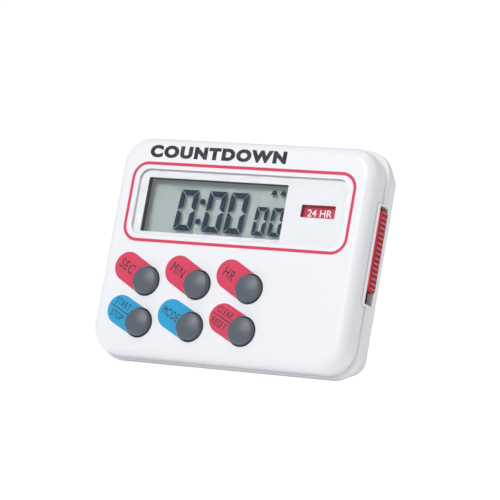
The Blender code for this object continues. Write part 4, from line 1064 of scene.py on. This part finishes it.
def makeScrew(name, part=screwShape):
    low, high = caseBox(name)
    (x, z), head = spotOf(name), (high.x - low.x) / 2
    shank, seat = part["shank"], high.y - part["headDepth"]
    rows = [(0.2 * mm, low.y), (shank * 0.8, low.y + 0.8 * mm), (shank, low.y + 1.1 * mm), (shank, seat),
            (head - 0.1 * mm, seat), (head, seat + 0.1 * mm), (head, seat + 0.65 * mm)]
    rows += [(head * 0.93, seat + 0.9 * mm), (head * 0.8, seat + 1.12 * mm), (head * 0.6, seat + 1.25 * mm),
             (head * 0.3, high.y)]
    screw = turned(name + "_turned", rows, (x, z), 48)
    cutters = []
    for longSide, shortSide in (part["cross"], part["cross"][::-1]):
        cutters.append(loftMesh("cross", [
            [(x + sx * longSide * share * mm, y, z + sz * shortSide * share * mm)
             for sx, sz in ((-1, -1), (1, -1), (1, 1), (-1, 1))]
            for share, y in ((0.55, seat + part["crossFloor"]), (1.0, high.y + 0.05 * mm), (1.0, high.y + mm))
        ]))
    screw = boolean(screw, "DIFFERENCE", cutters)
    smooth(placed("turned_" + name, screw, "case", "steel", [name]), 35)


makeDoor()
makeStand()
for nodeName in sorted(frame["nodes"]):
    if nodeName.startswith("magnet_"):
        makeMagnet(nodeName)
    if nodeName.startswith("case_screw_"):
        makeScrew(nodeName)
print("back pieces made")


# battery and contacts, seen when the door slides away
def makeBattery(nub=0.8 * mm):
    low, high = caseBox("battery")
    _, y, z = cellMiddle()
    radius, length = (high.y - low.y) / 2, high.x - nub - low.x
    turn = Matrix.Translation((low.x, y, z)) @ Matrix.Rotation(-math.pi / 2, 4, "Z")
    end = [(0.9, 0.12), (0.55, 0.0), (0.2, 0.08), (0.0, 0.45)]  # rim and crimp, in millimetres
    rows = [(radius - inset * mm, depth * mm) for inset, depth in end]
    rows += [(radius - inset * mm, length - depth * mm) for inset, depth in reversed(end)]
    jacket = moved(turned("jacket", rows, steps=96), turn)
    smooth(placed("cellJacket", jacket, "case", "cellJacket", ["battery"]))
    rows = [(3.4, -0.2), (3.4, 0.02), (2.1, 0.05), (1.9, 0.2)]
    rows = [(wide * mm, length + rise * mm) for wide, rise in rows]
    rows += [(1.9 * mm, length + nub - 0.15 * mm), (1.7 * mm, length + nub)]
    smooth(placed("cellTip", moved(turned("tip", rows, steps=64), turn), "case", "steel"))


springPart = {"wire": 0.28 * mm, "turns": 3, "wide": 3.4 * mm, "narrow": 1.8 * mm}


def makeSpring(part=springPart):
    low, high = caseBox("negative_spring")
    _, y, z = cellMiddle()
    start, end = low.x + part["wire"], high.x - part["wire"]
    steps = 40 * part["turns"]
    points = []
    for i in range(steps + 1):
        share = i / steps
        climb = share * share * (3 - 2 * share)  # flat first and last turns
        radius = part["wide"] + (part["narrow"] - part["wide"]) * share
        angle = 2 * math.pi * part["turns"] * share
        x = start + (end - start) * climb
        points.append((x, y + radius * math.cos(angle), z + radius * math.sin(angle)))
    curve = polyCurve("springCoil", "3D", [points], False)
    curve.bevel_depth = part["wire"]
    curve.bevel_resolution = 4
    curve.use_fill_caps = True
    coil = settledMesh(linked("springCoil", curve))
    smooth(placed("springCoil", coil, "case", "steel", ["negative_spring"]), 60)


makeBattery()
makeSpring()
insideFinish = {
    "zebra_strip": "zebra", "circuit_board": "board", "chip_cover": "epoxy", "crystal": "steel",
    "capacitor": "sleeve", "resistor": "resistorBands", "board_screw_1": "steel", "board_screw_2": "steel",
    "buzzer_disc": "brass", "buzzer_ceramic": "ceramicDisc", "buzzer_wire_red": "redWire",
    "buzzer_wire_black": "blackWire", "positive_contact": "steel", "slide_contact": "brass",
    "keypad_mat": "silicone", "mode_flag": "flagRed",
}
for nodeName, finish in insideFinish.items():
    mesh = frame["nodes"][nodeName].data
    mesh.materials.clear()
    mesh.materials.append(palette[finish])
print("inner pieces finished:", len(insideFinish))


# camera, floor and light
viewpoint = {"azimuth": 30.3, "elevation": 7.09, "distance": 0.7845, "target": (0.00078, 0.00065, 0.03138)}
lensLength, sensorWidth = 209.9, 36.0
lights = {
    "frontSoftbox": {"azimuth": -12, "elevation": 42, "distance": 1.3, "size": 0.5, "watts": 6.9},
    "topSoftbox": {"azimuth": 160, "elevation": 78, "distance": 1.1, "size": 0.8, "watts": 2.0},
}
floorLook = {"half": 12.0, "colour": (0.93, 0.93, 0.935), "lift": 0.15, "glow": 1.12, "share": 0.92}
worldLook = {"colour": (0.985, 0.99, 1.0), "strength": 0.5}


def aim(obj, azimuth, elevation, distance, target=(0, 0, 0.03)):  # stands a lamp or camera facing the part
    turn, rise = math.radians(azimuth), math.radians(elevation)
    away = Vector((math.sin(turn) * math.cos(rise), -math.cos(turn) * math.cos(rise), math.sin(rise)))
    obj.location = Vector(target) + away * distance
    obj.rotation_euler = (-away).to_track_quat("-Z", "Y").to_euler()


def makeCamera():
    camera = linked("camera", bpy.data.cameras.new("camera"))
    camera.data.lens = lensLength
    camera.data.sensor_width = sensorWidth
    camera.data.clip_start = 0.01
    aim(camera, **viewpoint)
    bpy.context.scene.camera = camera


def makeFloor(part=floorLook):
    mesh = bpy.data.meshes.new("floor")
    corners = [(sx * part["half"], sy * part["half"], 0) for sx, sy in ((-1, -1), (1, -1), (1, 1), (-1, 1))]
    mesh.from_pydata(corners, [], [(0, 1, 2, 3)])
    floor = linked("floor", mesh)
    material, tree, shader = newMaterial("paleFloor")
    feed(tree, shader, Base_Color=part["colour"], Emission_Color=white, Emission_Strength=part["lift"],
         Roughness=0.9, Specular_IOR_Level=0.1)
    glow = feed(tree, addNode(tree, "ShaderNodeEmission"), Strength=part["glow"])
    swapForRay(tree, "Is Camera Ray", shader, glow, "Material Output", part["share"])
    floor.data.materials.append(material)


def softbox(name, size, watts, **place):
    lamp = bpy.data.lights.new(name, "AREA")
    lamp.shape = "SQUARE"
    lamp.size = size
    lamp.energy = watts
    aim(linked(name, lamp), **place)


def makeWorld(part=worldLook):
    world = bpy.data.worlds.new("studio")
    bpy.context.scene.world = world
    world.use_nodes = True
    tree = world.node_tree
    soft = feed(tree, tree.nodes["Background"], Color=part["colour"], Strength=part["strength"])
    backdrop = feed(tree, addNode(tree, "ShaderNodeBackground"), Color=white, Strength=1.0)
    swapForRay(tree, "Is Camera Ray", soft, backdrop, "World Output")


makeCamera()
makeFloor()
for lightName, setting in lights.items():
    softbox(lightName, **setting)
makeWorld()
bpy.context.scene.view_settings.view_transform = "Standard"
print("stage ready")
